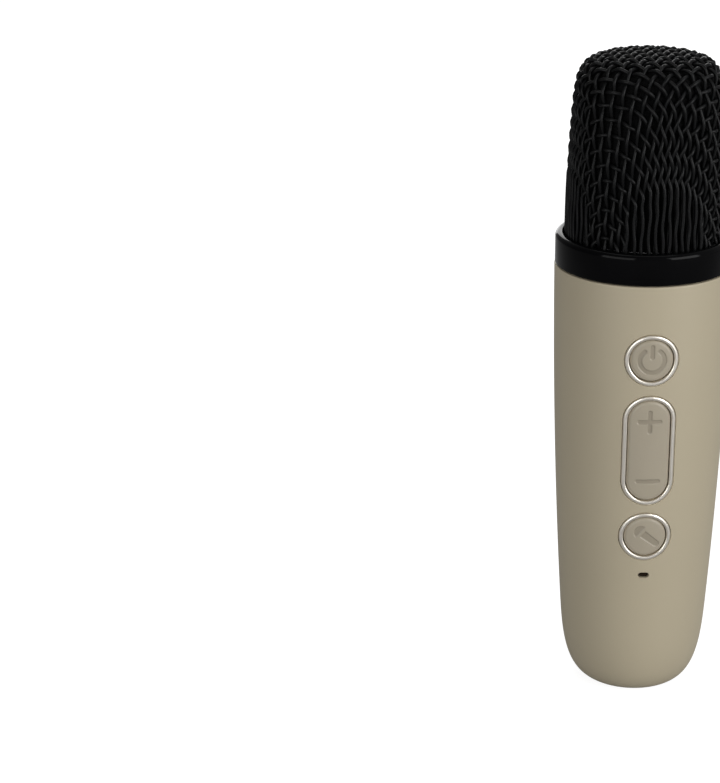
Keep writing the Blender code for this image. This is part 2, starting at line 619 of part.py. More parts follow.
def build_board_and_sled():
    """The main board, the sled that carries it and the cell, and the board's screws."""
    low, high = BOARD_SPAN
    board = place("main_board",
                  box_mesh((2 * BOARD_HALF_WIDTH, high - low, BOARD_FRONT - BOARD_BACK)),
                  "circuit_board", (0.0, -(BOARD_FRONT + BOARD_BACK) / 2, (low + high) / 2),
                  FACING_FRONT)
    back = SLED_THICKNESS - SLED_FRONT
    shelf_top = CELL_SHELF + SLED_THICKNESS
    top = MOUNT_DISC[0] - GAP
    outline = [
        (-SLED_FRONT, SLED_FOOT), (SHELF_DEPTH, SLED_FOOT),
        (SHELF_DEPTH, SLED_FOOT + SLED_THICKNESS), (back, SLED_FOOT + SLED_THICKNESS),
        (back, CELL_SHELF), (SHELF_DEPTH, CELL_SHELF), (SHELF_DEPTH, shelf_top),
        (back, shelf_top), (back, top - SLED_THICKNESS), (LUG_DEPTH, top - SLED_THICKNESS),
        (LUG_DEPTH, top), (-SLED_FRONT, top)]
    sled = place("sled", prism_mesh([outline], -SLED_HALF_WIDTH, SLED_HALF_WIDTH),
                 "inner_plastic", rotation=(math.pi / 2, 0.0, math.pi / 2))
    notch = tool("lead_notch", box_mesh(NOTCH), (0.0, 0.0, NOTCH_FOOT + NOTCH[2] / 2))
    combine(sled, notch, "DIFFERENCE")
    for name, x, height in BOARD_SCREWS:
        hole = tool(f"{name}_hole", hole_mesh(SLED_FRONT - SLED_THICKNESS - CUT_MARGIN,
                                              BOARD_FRONT + CUT_MARGIN), (x, 0.0, height),
                    FACING_FRONT)
        combine(board, hole, "DIFFERENCE")
        combine(sled, hole, "DIFFERENCE")
        place(name, screw_mesh(PART_FOOT - SLED_FRONT + SLED_THICKNESS - GAP), "screw_steel",
              (x, -PART_FOOT, height), FACING_FRONT)
    for name, side in (("mount_screw_left", -1), ("mount_screw_right", 1)):
        hole = tool(f"{name}_hole",
                    hole_mesh(top - 2 * SLED_THICKNESS, MOUNT_DISC[1] + CUT_MARGIN),
                    (side * MOUNT_SCREW_X, MOUNT_SCREW_Y, 0.0))
        combine(sled, hole, "DIFFERENCE")
        place(name, screw_mesh(MOUNT_DISC[1] + GAP - top + SLED_THICKNESS - GAP), "screw_steel",
              (side * MOUNT_SCREW_X, MOUNT_SCREW_Y, MOUNT_DISC[1] + GAP))


def build_board_parts():
    """What is soldered to the board besides the switches."""
    for name, size, x, height, slot, lift in BOARD_PARTS:
        place_on_board(name, size, x, height, slot, lift)
    capacitor = turned_mesh(
        [(0.0, PART_FOOT + CAPACITOR[1]), (CAPACITOR[0], PART_FOOT + CAPACITOR[1]),
         (CAPACITOR[0], PART_FOOT), (0.0, PART_FOOT)], closed=False, sides=SMALL_ROUND)
    x, height = CAPACITOR_PLACE
    place("bulk_capacitor", capacitor, "capsule_metal", (x, 0.0, height), FACING_FRONT)


def build_cell():
    """The rechargeable cell, a contact at each end, and the foam pad behind it."""
    nub_radius, nub = CELL_NUB
    top = CELL_FOOT + CELL_LENGTH
    cell = turned_mesh(
        [(0.0, top), (nub_radius, top), (nub_radius, top - nub), (CELL_RADIUS, top - nub),
         (CELL_RADIUS, CELL_FOOT), (0.0, CELL_FOOT)], closed=False, sides=MEDIUM_ROUND)
    place("cell", cell, "cell_sleeve", (0.0, CELL_Y, 0.0))
    contact_centre = (CONTACT_SPAN[0] + CONTACT_SPAN[1]) / 2
    contact_size = (CONTACT_SPAN[1] - CONTACT_SPAN[0], CONTACT_WIDTH, CONTACT_THICKNESS)
    for name, foot in (("lower", SLED_FOOT + SLED_THICKNESS + GAP), ("upper", top + GAP)):
        place(f"cell_contact_{name}", box_mesh(contact_size), "screw_steel",
              (contact_centre, CELL_Y, foot + CONTACT_THICKNESS / 2))
    pad_front = CELL_Y + CELL_RADIUS + GAP
    place("cell_pad", box_mesh(PAD_SIZE), "pad_foam",
          (0.0, pad_front + PAD_SIZE[1] / 2, PAD_HEIGHT))


def build_charging():
    """The charging board on its posts, its two screws, and the socket in the base."""
    low, high = CHARGE_BOARD
    disc = turned_mesh([(0.0, high), (CHARGE_BOARD_RADIUS, high), (CHARGE_BOARD_RADIUS, low),
                        (0.0, low)], closed=False, sides=MEDIUM_ROUND)
    board = place("charge_board", disc, "circuit_board")
    for name, side in (("charge_screw_left", -1), ("charge_screw_right", 1)):
        x = side * CHARGE_SCREW_X
        combine(board, tool(f"{name}_hole", hole_mesh(low - CUT_MARGIN, high + CUT_MARGIN),
                            (x, 0.0, 0.0)), "DIFFERENCE")
        place(name, screw_mesh(high - POST_HOLE_FOOT - 2 * GAP), "screw_steel",
              (x, 0.0, high + GAP))
    half_width, half_length = SOCKET_HALF
    mouth, tongue_foot = SOCKET_MOUTH
    socket = place("charge_socket", prism_mesh([stadium(half_width, half_length)], mouth,
                                               low - GAP), "capsule_metal")
    inside = stadium(half_width - SOCKET_WALL, half_length - SOCKET_WALL)
    x, y = TONGUE_HALF
    tongue = [(x, y), (-x, y), (-x, -y), (x, -y)]
    well = prism_mesh([inside, tongue], mouth - CUT_MARGIN, mouth + SOCKET_DEPTH)
    combine(socket, tool("socket_well", well), "DIFFERENCE")
    opening = prism_mesh([inside], mouth - CUT_MARGIN, tongue_foot)
    combine(socket, tool("socket_mouth", opening), "DIFFERENCE")


# Capsule and head

def build_capsule():
    """The capsule in its rubber boot, on the mount that closes the handle."""
    low, high = CAPSULE_SPAN
    cup = CAPSULE_RADIUS + BOOT_WALL
    cup_floor = low - GAP
    rim, cone = MOUNT_CUP
    mount = place("capsule_mount", turned_mesh(
        [(cup, cup_floor), (cup, cup_floor - rim), (MOUNT_POST, cup_floor - cone),
         (MOUNT_POST, MOUNT_DISC[1]), (MOUNT_RADIUS, MOUNT_DISC[1]),
         (MOUNT_RADIUS, MOUNT_DISC[0]), (MOUNT_BORE, MOUNT_DISC[0]), (MOUNT_BORE, cup_floor)],
        sides=MEDIUM_ROUND), "inner_plastic")
    for name in ("mount_screw_left", "mount_screw_right"):
        combine(mount, bpy.data.objects[f"{name}_hole"], "DIFFERENCE")
    boot_inner = CAPSULE_RADIUS + GAP
    place("capsule_boot", turned_mesh(
        [(boot_inner, high - BOOT_RIB), (cup - BOOT_RIB, high - 2 * BOOT_RIB),
         (cup, high - 4 * BOOT_RIB), (cup - BOOT_RIB, (low + high) / 2),
         (cup, low + 2 * BOOT_RIB), (cup - BOOT_RIB / 2, low), (boot_inner, low)],
        sides=MEDIUM_ROUND), "boot_rubber")
    place("capsule", turned_mesh(
        [(0.0, high), (CAPSULE_RADIUS - CAPSULE_EDGE, high),
         (CAPSULE_RADIUS, high - CAPSULE_EDGE), (CAPSULE_RADIUS, low), (0.0, low)],
        closed=False, sides=MEDIUM_ROUND), "capsule_metal")
    felt_radius = CAPSULE_RADIUS - CAPSULE_EDGE
    felt_low = high + GAP
    felt_high = felt_low + FELT_THICKNESS
    place("capsule_felt", turned_mesh(
        [(0.0, felt_high), (felt_radius, felt_high), (felt_radius, felt_low), (0.0, felt_low)],
        closed=False, sides=SMALL_ROUND), "felt")


def build_head():
    """The wire cup, the ring it is crimped in, and the foam inside: they come off together."""
    flange_top = LEDGE + GAP + RING_FLANGE
    ring_inner = NECK_RADIUS - NECK_WALL
    upstand = GRILLE_RADIUS - WEAVE_DEPTH
    upstand_top = COLLAR_TOP - UPSTAND_DEPTH
    place("grille_ring", turned_mesh(
        [(upstand, upstand_top), (upstand, flange_top), (GRILLE_RADIUS, flange_top),
         (GRILLE_RADIUS, LEDGE + GAP), (NECK_RADIUS, LEDGE + GAP), (NECK_RADIUS, NECK_FOOT),
         (ring_inner, NECK_FOOT), (ring_inner, flange_top), (upstand - RING_FLANGE, flange_top),
         (upstand - RING_FLANGE, upstand_top)]), "capsule_metal")
    cup = place("grille", turned_mesh(grille_profile(0.0, flange_top + GAP), closed=False),
                "grille_wire")
    foam = place("windscreen", turned_mesh(
        grille_profile(WEAVE_DEPTH, upstand_top + GAP), closed=False, sides=MEDIUM_ROUND),
        "windscreen_foam")
    for obj, thickness in ((cup, GRILLE_WALL), (foam, FOAM_THICKNESS)):
        solid = obj.modifiers.new("wall", "SOLIDIFY")
        solid.thickness = thickness
        solid.offset = -1.0
        solid.use_even_offset = True


def build_leads():
    """The insulated leads between the boards, the cell and the capsule."""
    for name, (slot, route) in LEADS.items():
        curve = bpy.data.curves.new(name, "CURVE")
        curve.dimensions = "3D"
        curve.bevel_depth = LEAD_RADIUS
        curve.bevel_resolution = 2
        curve.use_fill_caps = True
        points = smooth_route([tuple(value * MM for value in point) for point in route], 2)
        spline = curve.splines.new("POLY")
        spline.points.add(len(points) - 1)
        for control, point in zip(spline.points, points):
            control.co = (*point, 1.0)
        place(name, curve, slot)


clear_scene()
PARTS = new_collection("karaoke_microphone")
TOOLS = new_collection("tools")

build_body_shell()
build_collar()
trim_skin = skin_tool("trim_skin", BEZEL_PROUD)
cap_skin = skin_tool("cap_skin", CAP_PROUD)
build_bezels(trim_skin)
for button in ("power", "mode"):
    build_round_button(button, cap_skin)
    build_switch(button, CONTROLS[button][0])
build_volume_rocker(cap_skin)
build_rocker_pivot()
build_switch("volume_up", CONTROLS["volume"][0] + SWITCH_SPREAD)
build_switch("volume_down", CONTROLS["volume"][0] - SWITCH_SPREAD)
build_indicator()
build_board_and_sled()
build_board_parts()
build_cell()
build_charging()
build_capsule()
build_head()
build_leads()
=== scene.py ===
"""Looks of the karaoke microphone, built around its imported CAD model."""

import json
import math
import random

import bpy
import bmesh
import numpy as np
from mathutils import Euler, Matrix, Vector


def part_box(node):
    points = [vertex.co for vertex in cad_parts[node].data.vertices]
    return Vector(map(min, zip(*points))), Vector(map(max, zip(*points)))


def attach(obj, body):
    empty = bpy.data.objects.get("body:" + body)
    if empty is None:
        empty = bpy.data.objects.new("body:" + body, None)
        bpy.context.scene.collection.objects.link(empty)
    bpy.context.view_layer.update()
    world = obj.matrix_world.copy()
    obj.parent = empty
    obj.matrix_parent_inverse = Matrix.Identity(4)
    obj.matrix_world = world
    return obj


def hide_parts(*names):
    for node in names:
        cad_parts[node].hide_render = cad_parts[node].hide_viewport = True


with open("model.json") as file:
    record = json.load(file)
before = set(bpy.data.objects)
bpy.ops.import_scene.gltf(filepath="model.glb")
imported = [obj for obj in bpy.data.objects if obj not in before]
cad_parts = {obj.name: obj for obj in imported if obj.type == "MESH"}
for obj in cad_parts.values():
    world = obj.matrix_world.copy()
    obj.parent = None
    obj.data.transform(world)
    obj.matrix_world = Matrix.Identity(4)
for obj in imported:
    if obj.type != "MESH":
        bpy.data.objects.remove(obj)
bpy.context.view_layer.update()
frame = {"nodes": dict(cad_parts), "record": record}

MM = 0.001

# Sizes read from the frame
_, SHELL_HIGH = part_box("body_shell")
_, COLLAR_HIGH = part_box("collar_ring")
_, GRILLE_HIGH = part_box("grille")
HANDLE_RADIUS = SHELL_HIGH[0]
HANDLE_HEIGHT = SHELL_HIGH[2]
COLLAR_RADIUS = COLLAR_HIGH[0]
COLLAR_TOP = COLLAR_HIGH[2]
GRILLE_RADIUS = GRILLE_HIGH[0]
GRILLE_TOP = GRILLE_HIGH[2]

# Shape of the outside, as the CAD has it
GAP = 0.3 * MM
WALL = 2.0 * MM
TAPER_SLOPE = -0.006
TAPER_CURVE = -0.311
BASE_EDGE_HEIGHT = 22.5 * MM
BASE_EDGE_HANDLE = 10.1 * MM
BASE_SHOULDER_RADIUS = 17.8 * MM
BASE_FLAT_RADIUS = 10.0 * MM
GRILLE_SIDE_HEIGHT = 31.0 * MM
GRILLE_SIDE_DRAFT = 1.05 * MM
BEZEL_WIDTH = 1.05 * MM
WEAVE_DEPTH = 1.9 * MM

LEDGE = 118.0 * MM                  # in the collar, where the head rests
NECK_RADIUS = 17.3 * MM             # of the ring under the grille
NECK_BORE = 16.1 * MM

ROUND = 256                         # sides of a large turned piece
MEDIUM_ROUND = 128
SHARP_DEGREES = 40                  # an edge between faces at more than this isn't shaded smooth
MERGE_DISTANCE = 1e-7


# Meshes

def curve_points(start, first, second, end, steps):
    """Points along a cubic curve, with both ends."""
    t = np.linspace(0.0, 1.0, steps + 1)[:, None]
    controls = [np.array(point, float) for point in (start, first, second, end)]
    return ((1 - t) ** 3 * controls[0] + 3 * t * (1 - t) ** 2 * controls[1]
            + 3 * t * t * (1 - t) * controls[2] + t ** 3 * controls[3])


def corner(centre, radius, start_degrees, end_degrees, steps=6):
    """Points along a round corner of a profile."""
    angles = np.radians(np.linspace(start_degrees, end_degrees, steps + 1))
    return [(centre[0] + radius * math.cos(a), centre[1] + radius * math.sin(a)) for a in angles]


def circle_loops(profile, sides=ROUND):
    """One circle about Z for each (radius, height) of a profile."""
    angles = 2 * math.pi * np.arange(sides) / sides
    loops = []
    for radius, height in profile:
        loops.append(np.column_stack((radius * np.cos(angles), radius * np.sin(angles),
                                      np.full(sides, height))))
    return loops


def skin(loops, closed):
    """Vertices and faces between successive loops. closed joins the last loop to the first."""
    count = len(loops[0])
    vertices = np.concatenate(loops)
    steps = len(loops) if closed else len(loops) - 1
    here = np.arange(count)
    there = (here + 1) % count
    faces = []
    for step in range(steps):
        low = step * count
        high = ((step + 1) % len(loops)) * count
        faces.append(np.column_stack((low + here, low + there, high + there, high + here)))
    faces = np.concatenate(faces).tolist()
    if not closed:
        faces.append(list(range(count))[::-1])
        faces.append(list(range((len(loops) - 1) * count, len(loops) * count)))
    return vertices, faces


def build_mesh(name, vertices, faces, sharp_degrees=SHARP_DEGREES):
    """A closed mesh from vertices and faces."""
    mesh = bpy.data.meshes.new(name)
    mesh.from_pydata([tuple(v) for v in vertices], [], faces)
    return welded(mesh, sharp_degrees)


def welded(mesh, sharp_degrees):
    """The mesh with its faces pointing out, shaded smooth between its sharp edges."""
    shape = bmesh.new()
    shape.from_mesh(mesh)
    bmesh.ops.remove_doubles(shape, verts=shape.verts, dist=MERGE_DISTANCE)
    bmesh.ops.dissolve_degenerate(shape, edges=shape.edges, dist=MERGE_DISTANCE / 10)
    bmesh.ops.recalc_face_normals(shape, faces=shape.faces)
    shape.to_mesh(mesh)
    shape.free()
    mesh.shade_smooth()
    mesh.set_sharp_from_angle(angle=math.radians(sharp_degrees))
    return mesh


def add_piece(name, mesh, look, slot, body, *nodes):
    """Add a finished piece that rides on a body and stands for CAD nodes."""
    obj = bpy.data.objects.new(name, mesh)
    bpy.context.scene.collection.objects.link(obj)
    mesh.materials.clear()
    mesh.materials.append(look)
    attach(obj, body)
    if nodes:
        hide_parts(*nodes)
    return obj


def turned_mesh(name, profile, closed=True, sides=ROUND):
    """A closed profile of (radius, height) turned about Z."""
    return build_mesh(name, *skin(circle_loops(profile, sides), closed))


def cut_mesh(mesh, cutters):
    """The mesh with every cutter's volume taken away."""
    target = bpy.data.objects.new("target", mesh)
    bpy.context.scene.collection.objects.link(target)
    tools = []
    for cutter in cutters:
        tool = bpy.data.objects.new("cutter", cutter)
        bpy.context.scene.collection.objects.link(tool)
        modifier = target.modifiers.new("cut", "BOOLEAN")
        modifier.operation = "DIFFERENCE"
        modifier.solver = "MANIFOLD"
        modifier.object = tool
        tools.append(tool)
    graph = bpy.context.evaluated_depsgraph_get()
    result = bpy.data.meshes.new_from_object(target.evaluated_get(graph))
    for obj in [target, *tools]:
        bpy.data.objects.remove(obj)
    result.name = mesh.name
    result.shade_smooth()
    result.set_sharp_from_angle(angle=math.radians(SHARP_DEGREES))
    return result


def stadium(half_width, half_length, arc_steps, side_steps):
    """A slot outline with round ends along Y: the same number of points for every size."""
    radius = min(half_width, half_length)
    shift_x = half_width - radius
    shift_y = half_length - radius
    points = []
    corners = ((0, shift_x, shift_y), (90, -shift_x, shift_y), (180, -shift_x, -shift_y),
               (270, shift_x, -shift_y))
    for start, centre_x, centre_y in corners:
        for i in range(arc_steps + 1):
            angle = math.radians(start + 90 * i / arc_steps)
            points.append((centre_x + radius * math.cos(angle),
                           centre_y + radius * math.sin(angle)))
        if start in (90, 270):
            x, y = points[-1]
            for i in range(1, side_steps):
                points.append((x, y - math.copysign(2 * shift_y * i / side_steps, y)))
    return np.array(points)


# Handle outline

def body_radius(height):
    """The handle's outer radius on its tapered length."""
    depth = HANDLE_HEIGHT - height
    return HANDLE_RADIUS + TAPER_SLOPE * depth + TAPER_CURVE * depth * depth


def handle_outline(inset, taper_steps, edge_steps):
    """The handle's surface, or one inside it, from its rim to the middle of its base."""
    heights = np.linspace(HANDLE_HEIGHT, BASE_EDGE_HEIGHT, taper_steps, endpoint=False)
    points = [(body_radius(height), height) for height in heights]
    edge_radius = body_radius(BASE_EDGE_HEIGHT)
    edge_slope = TAPER_SLOPE + 2 * TAPER_CURVE * (HANDLE_HEIGHT - BASE_EDGE_HEIGHT)
    points += [tuple(point) for point in curve_points(
        (edge_radius, BASE_EDGE_HEIGHT),
        (edge_radius + edge_slope * BASE_EDGE_HANDLE, BASE_EDGE_HEIGHT - BASE_EDGE_HANDLE),
        (BASE_SHOULDER_RADIUS, 0.0), (BASE_FLAT_RADIUS, 0.0), edge_steps)]
    points += [(BASE_FLAT_RADIUS * share, 0.0) for share in (0.66, 0.33, 0.0)]
    outline = np.array(points)
    if inset:
        along = np.gradient(outline, axis=0)
        along /= np.linalg.norm(along, axis=1)[:, None]
        outline += inset * np.column_stack((along[:, 1], -along[:, 0]))
        outline[-1] = (0.0, inset)
        outline[:, 0] = np.maximum(outline[:, 0], 0.0)
    return outline


def wrapped(flat, out, height):
    """Points of a flat outline (across, up) laid on the handle's front, moved out from it."""
    z = height + flat[:, 1]
    y = -np.sqrt(body_radius(z) ** 2 - flat[:, 0] ** 2) - out
    return np.column_stack((flat[:, 0], y, z))


def wrapped_loops(half_width, half_length, steps, height, arc_steps, side_steps):
    """A loop on the handle's front for each (inset, out) step of a section."""
    loops = []
    for inset, out in steps:
        flat = stadium(half_width - inset, half_length - inset, arc_steps, side_steps)
        loops.append(wrapped(flat, np.broadcast_to(out, len(flat)), height))
    return loops


TRIM_GAP = 0.12 * MM                # between the handle and a trim ring
CAP_GAP = 0.2 * MM
SYMBOL_DEPTH = 0.24 * MM
CONTROLS = {}
for control in ("power", "volume", "mode"):
    low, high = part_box(f"{control}_bezel")
    CONTROLS[control] = ((low[2] + high[2]) / 2, (high[0] - low[0]) / 2, (high[2] - low[2]) / 2)


# Materials

def node_material(name):
    """A new material: its node tree and its Principled shader."""
    look = bpy.data.materials.new(name)
    look.use_nodes = True
    tree = look.node_tree
    return look, tree, tree.nodes["Principled BSDF"]


def add_noise(tree, scale, detail=3.0, stretch=(1.0, 1.0, 1.0)):
    """A noise texture in the piece's own coordinates, of that many grains to the metre."""
    coordinates = tree.nodes.new("ShaderNodeTexCoord")
    mapping = tree.nodes.new("ShaderNodeMapping")
    mapping.inputs["Scale"].default_value = stretch
    noise = tree.nodes.new("ShaderNodeTexNoise")
    noise.inputs["Scale"].default_value = scale
    noise.inputs["Detail"].default_value = detail
    tree.links.new(coordinates.outputs["Object"], mapping.inputs["Vector"])
    tree.links.new(mapping.outputs["Vector"], noise.inputs["Vector"])
    return noise


NOISE_LOW, NOISE_HIGH = 0.3, 0.7    # nearly all of a noise texture's values


def add_ramp(tree, source, low, high):
    """Colours between low and high as a noise goes from its least to its most."""
    ramp = tree.nodes.new("ShaderNodeValToRGB")
    ramp.color_ramp.elements[0].position = NOISE_LOW
    ramp.color_ramp.elements[1].position = NOISE_HIGH
    ramp.color_ramp.elements[0].color = (*low, 1.0)
    ramp.color_ramp.elements[1].color = (*high, 1.0)
    tree.links.new(source, ramp.inputs["Fac"])
    return ramp


def add_range(tree, source, low, high):
    """A number between low and high as a noise goes from its least to its most."""
    node = tree.nodes.new("ShaderNodeMapRange")
    node.inputs["From Min"].default_value = NOISE_LOW
    node.inputs["From Max"].default_value = NOISE_HIGH
    node.inputs["To Min"].default_value = low
    node.inputs["To Max"].default_value = high
    tree.links.new(source, node.inputs["Value"])
    return node


def surface(name, colour, roughness, metallic=0.0, spread=0.04, patch=60.0, grain=6000.0,
            grain_depth=0.004 * MM, roughness_spread=0.04, stretch=(1.0, 1.0, 1.0),
            specular=0.5, sheen=0.0):
    """A moulded, painted or plated surface: colour patches, uneven gloss and a fine grain."""
    look, tree, shader = node_material(name)
    patches = add_noise(tree, patch)
    dark = [value * (1 - spread) for value in colour]
    light = [value * (1 + spread) for value in colour]
    ramp = add_ramp(tree, patches.outputs["Fac"], dark, light)
    tree.links.new(ramp.outputs["Color"], shader.inputs["Base Color"])
    grains = add_noise(tree, grain, 2.0, stretch)
    gloss = add_range(tree, grains.outputs["Fac"], roughness - roughness_spread,
                      roughness + roughness_spread)
    tree.links.new(gloss.outputs["Result"], shader.inputs["Roughness"])
    bump = tree.nodes.new("ShaderNodeBump")
    bump.inputs["Strength"].default_value = 1.0
    bump.inputs["Distance"].default_value = grain_depth
    tree.links.new(grains.outputs["Fac"], bump.inputs["Height"])
    tree.links.new(bump.outputs["Normal"], shader.inputs["Normal"])
    shader.inputs["Metallic"].default_value = metallic
    shader.inputs["Specular IOR Level"].default_value = specular
    shader.inputs["Sheen Weight"].default_value = sheen
    return look


BODY_PLASTIC = surface("body_plastic", (0.425, 0.372, 0.266), 0.45, spread=0.012, patch=35.0,
                       grain=5200.0, grain_depth=0.0035 * MM)
CAP_PLASTIC = surface("cap_plastic", (0.36, 0.318, 0.244), 0.42, spread=0.015, patch=200.0,
                      grain=5200.0, grain_depth=0.004 * MM)
COLLAR_PLASTIC = surface("collar_plastic", (0.0015, 0.0015, 0.0018), 0.10, spread=0.2,
                         patch=120.0, grain=900.0, grain_depth=0.0008 * MM,
                         roughness_spread=0.02, specular=0.08)
BRIGHT_TRIM = surface("bright_trim", (0.95, 0.90, 0.81), 0.38, metallic=1.0, spread=0.02,
                      patch=400.0, grain=3000.0, grain_depth=0.0012 * MM)
GRILLE_WIRE = surface("grille_wire", (0.0032, 0.0033, 0.0036), 0.38, spread=0.25, patch=900.0,
                      grain=7000.0, grain_depth=0.012 * MM, roughness_spread=0.08,
                      specular=0.17)
SMOKED_WINDOW = surface("smoked_window", (0.012, 0.007, 0.003), 0.30, spread=0.1, patch=900.0,
                        specular=0.2)
WINDSCREEN_FOAM = surface("windscreen_foam", (0.003, 0.003, 0.0032), 0.95, spread=0.5,
                          patch=1800.0, grain=2200.0, grain_depth=0.5 * MM, specular=0.1)
INNER_PLASTIC = surface("inner_plastic", (0.03, 0.03, 0.032), 0.5)
BOOT_RUBBER = surface("boot_rubber", (0.018, 0.018, 0.019), 0.75, spread=0.2, grain=4000.0,
                      grain_depth=0.01 * MM)
CAPSULE_METAL = surface("capsule_metal", (0.56, 0.56, 0.57), 0.32, metallic=1.0, spread=0.04,
                        stretch=(1.0, 1.0, 12.0), grain=1500.0)


# Painted shade: the colour that a cap is darkened to inside its sunk symbols, in place of the
# grooves' shadow
SYMBOL_SHADE_COLOUR = (0.285, 0.25, 0.19, 1.0)


def paint_symbol_shade(look):
    """Paint shade into a cap's material where its mesh says that a symbol is sunk: a darker
    colour stands in for the shadow in the grooves.
    """
    tree = look.node_tree
    shader = tree.nodes["Principled BSDF"]
    socket = shader.inputs["Base Color"].links[0].from_socket
    sunk = tree.nodes.new("ShaderNodeAttribute")
    sunk.attribute_name = "sunk"
    mix = tree.nodes.new("ShaderNodeMix")
    mix.data_type = "RGBA"
    mix.inputs["B"].default_value = SYMBOL_SHADE_COLOUR
    tree.links.new(sunk.outputs["Fac"], mix.inputs["Factor"])
    tree.links.new(socket, mix.inputs["A"])
    tree.links.new(mix.outputs["Result"], shader.inputs["Base Color"])


# The caps' symbols get painted shade
paint_symbol_shade(CAP_PLASTIC)
FELT = surface("felt", (0.045, 0.045, 0.05), 0.95, spread=0.4, patch=2500.0, grain=3500.0,
               grain_depth=0.15 * MM, specular=0.1, sheen=0.4)
CIRCUIT_BOARD = surface("circuit_board", (0.012, 0.10, 0.045), 0.35, spread=0.25, patch=900.0,
                        grain=2500.0)
CHIP_EPOXY = surface("chip_epoxy", (0.02, 0.02, 0.022), 0.5, spread=0.15, grain=8000.0)
CONNECTOR_NYLON = surface("connector_nylon", (0.72, 0.70, 0.62), 0.45, spread=0.03)
LED_RESIN = surface("led_resin", (0.8, 0.8, 0.7), 0.25, spread=0.05, patch=900.0)
SCREW_STEEL = surface("screw_steel", (0.52, 0.52, 0.53), 0.3, metallic=1.0, spread=0.05,
                      grain=3000.0)
CELL_SLEEVE = surface("cell_sleeve", (0.02, 0.12, 0.36), 0.32, spread=0.08)
PAD_FOAM = surface("pad_foam", (0.06, 0.06, 0.065), 0.95, spread=0.3, patch=1500.0,
                   grain=2500.0, grain_depth=0.2 * MM, specular=0.15)
LEAD_RED = surface("lead_red", (0.45, 0.02, 0.02), 0.45, spread=0.06, patch=500.0)
LEAD_BLACK = surface("lead_black", (0.015, 0.015, 0.015), 0.45, spread=0.2, patch=500.0)
LOOKS = {
    "body_plastic": BODY_PLASTIC, "cap_plastic": CAP_PLASTIC, "collar_plastic": COLLAR_PLASTIC,
    "bright_trim": BRIGHT_TRIM, "grille_wire": GRILLE_WIRE, "smoked_window": SMOKED_WINDOW,
    "windscreen_foam": WINDSCREEN_FOAM, "inner_plastic": INNER_PLASTIC,
    "boot_rubber": BOOT_RUBBER, "capsule_metal": CAPSULE_METAL, "felt": FELT,
    "circuit_board": CIRCUIT_BOARD, "chip_epoxy": CHIP_EPOXY,
    "connector_nylon": CONNECTOR_NYLON, "led_resin": LED_RESIN, "screw_steel": SCREW_STEEL,
    "cell_sleeve": CELL_SLEEVE, "pad_foam": PAD_FOAM, "lead_red": LEAD_RED,
    "lead_black": LEAD_BLACK,
}


def finish_cad_nodes():
    """Give every CAD node the look of its record slot."""
    for entry in frame["record"]["subparts"]:
        obj = frame["nodes"][entry["node"]]
        obj.data.materials.clear()
        obj.data.materials.append(LOOKS[entry["material_slot"]])


# Camera, floor and light

CAMERA_LENS = 101.15
CAMERA_PLACE = (-0.07227, -0.53536, 0.27528)
CAMERA_TILT = math.radians(70.036)
CAMERA_ROLL = math.radians(-0.706)
FLOOR_HALF = 3.0
FLOOR_GREY = 0.28
FLOOR_GLOW = (0.05, 0.9)            # for other rays, and for the camera's
SURROUND_STRENGTH = (0.10, 0.40)    # from the left, and from the right
BACKDROP_STRENGTH = 1.1
LIGHT_TARGET = (0.0, 0.0, 0.09)
LIGHTS = (                          # name, place, side, power
    ("key", (0.9, -0.85, 0.45), 0.9, 11.7),
    ("fill", (-0.75, -0.9, 0.3), 0.9, 6.6),
    ("top", (0.0, 0.25, 1.2), 0.8, 2.5),
    ("back", (0.1, 1.0, 0.25), 0.8, 4.5),
)
WHITE = (1.0, 1.0, 1.0, 1.0)


def add_camera():
    """The photograph's view: from the front, a little above and to the left of the object."""
    camera = bpy.data.cameras.new("camera")
    camera.sensor_width = 36.0
    camera.lens = CAMERA_LENS
    camera.clip_start = 0.01
    obj = bpy.data.objects.new("camera", camera)
    bpy.context.scene.collection.objects.link(obj)
    turn = Euler((CAMERA_TILT, 0.0, 0.0)).to_matrix().to_4x4()
    roll = Matrix.Rotation(CAMERA_ROLL, 4, "Z")
    obj.matrix_world = Matrix.Translation(CAMERA_PLACE) @ turn @ roll
    bpy.context.scene.camera = obj


def add_area_light(name, location, side, power):
    """A soft square light that faces the object."""
    light = bpy.data.lights.new(name, "AREA")
    light.shape = "RECTANGLE"
    light.size = light.size_y = side
    light.energy = power
    obj = bpy.data.objects.new(name, light)
    bpy.context.scene.collection.objects.link(obj)
    obj.location = location
    obj.visible_camera = False
    direction = Vector(LIGHT_TARGET) - Vector(location)
    obj.rotation_euler = direction.to_track_quat("-Z", "Y").to_euler()


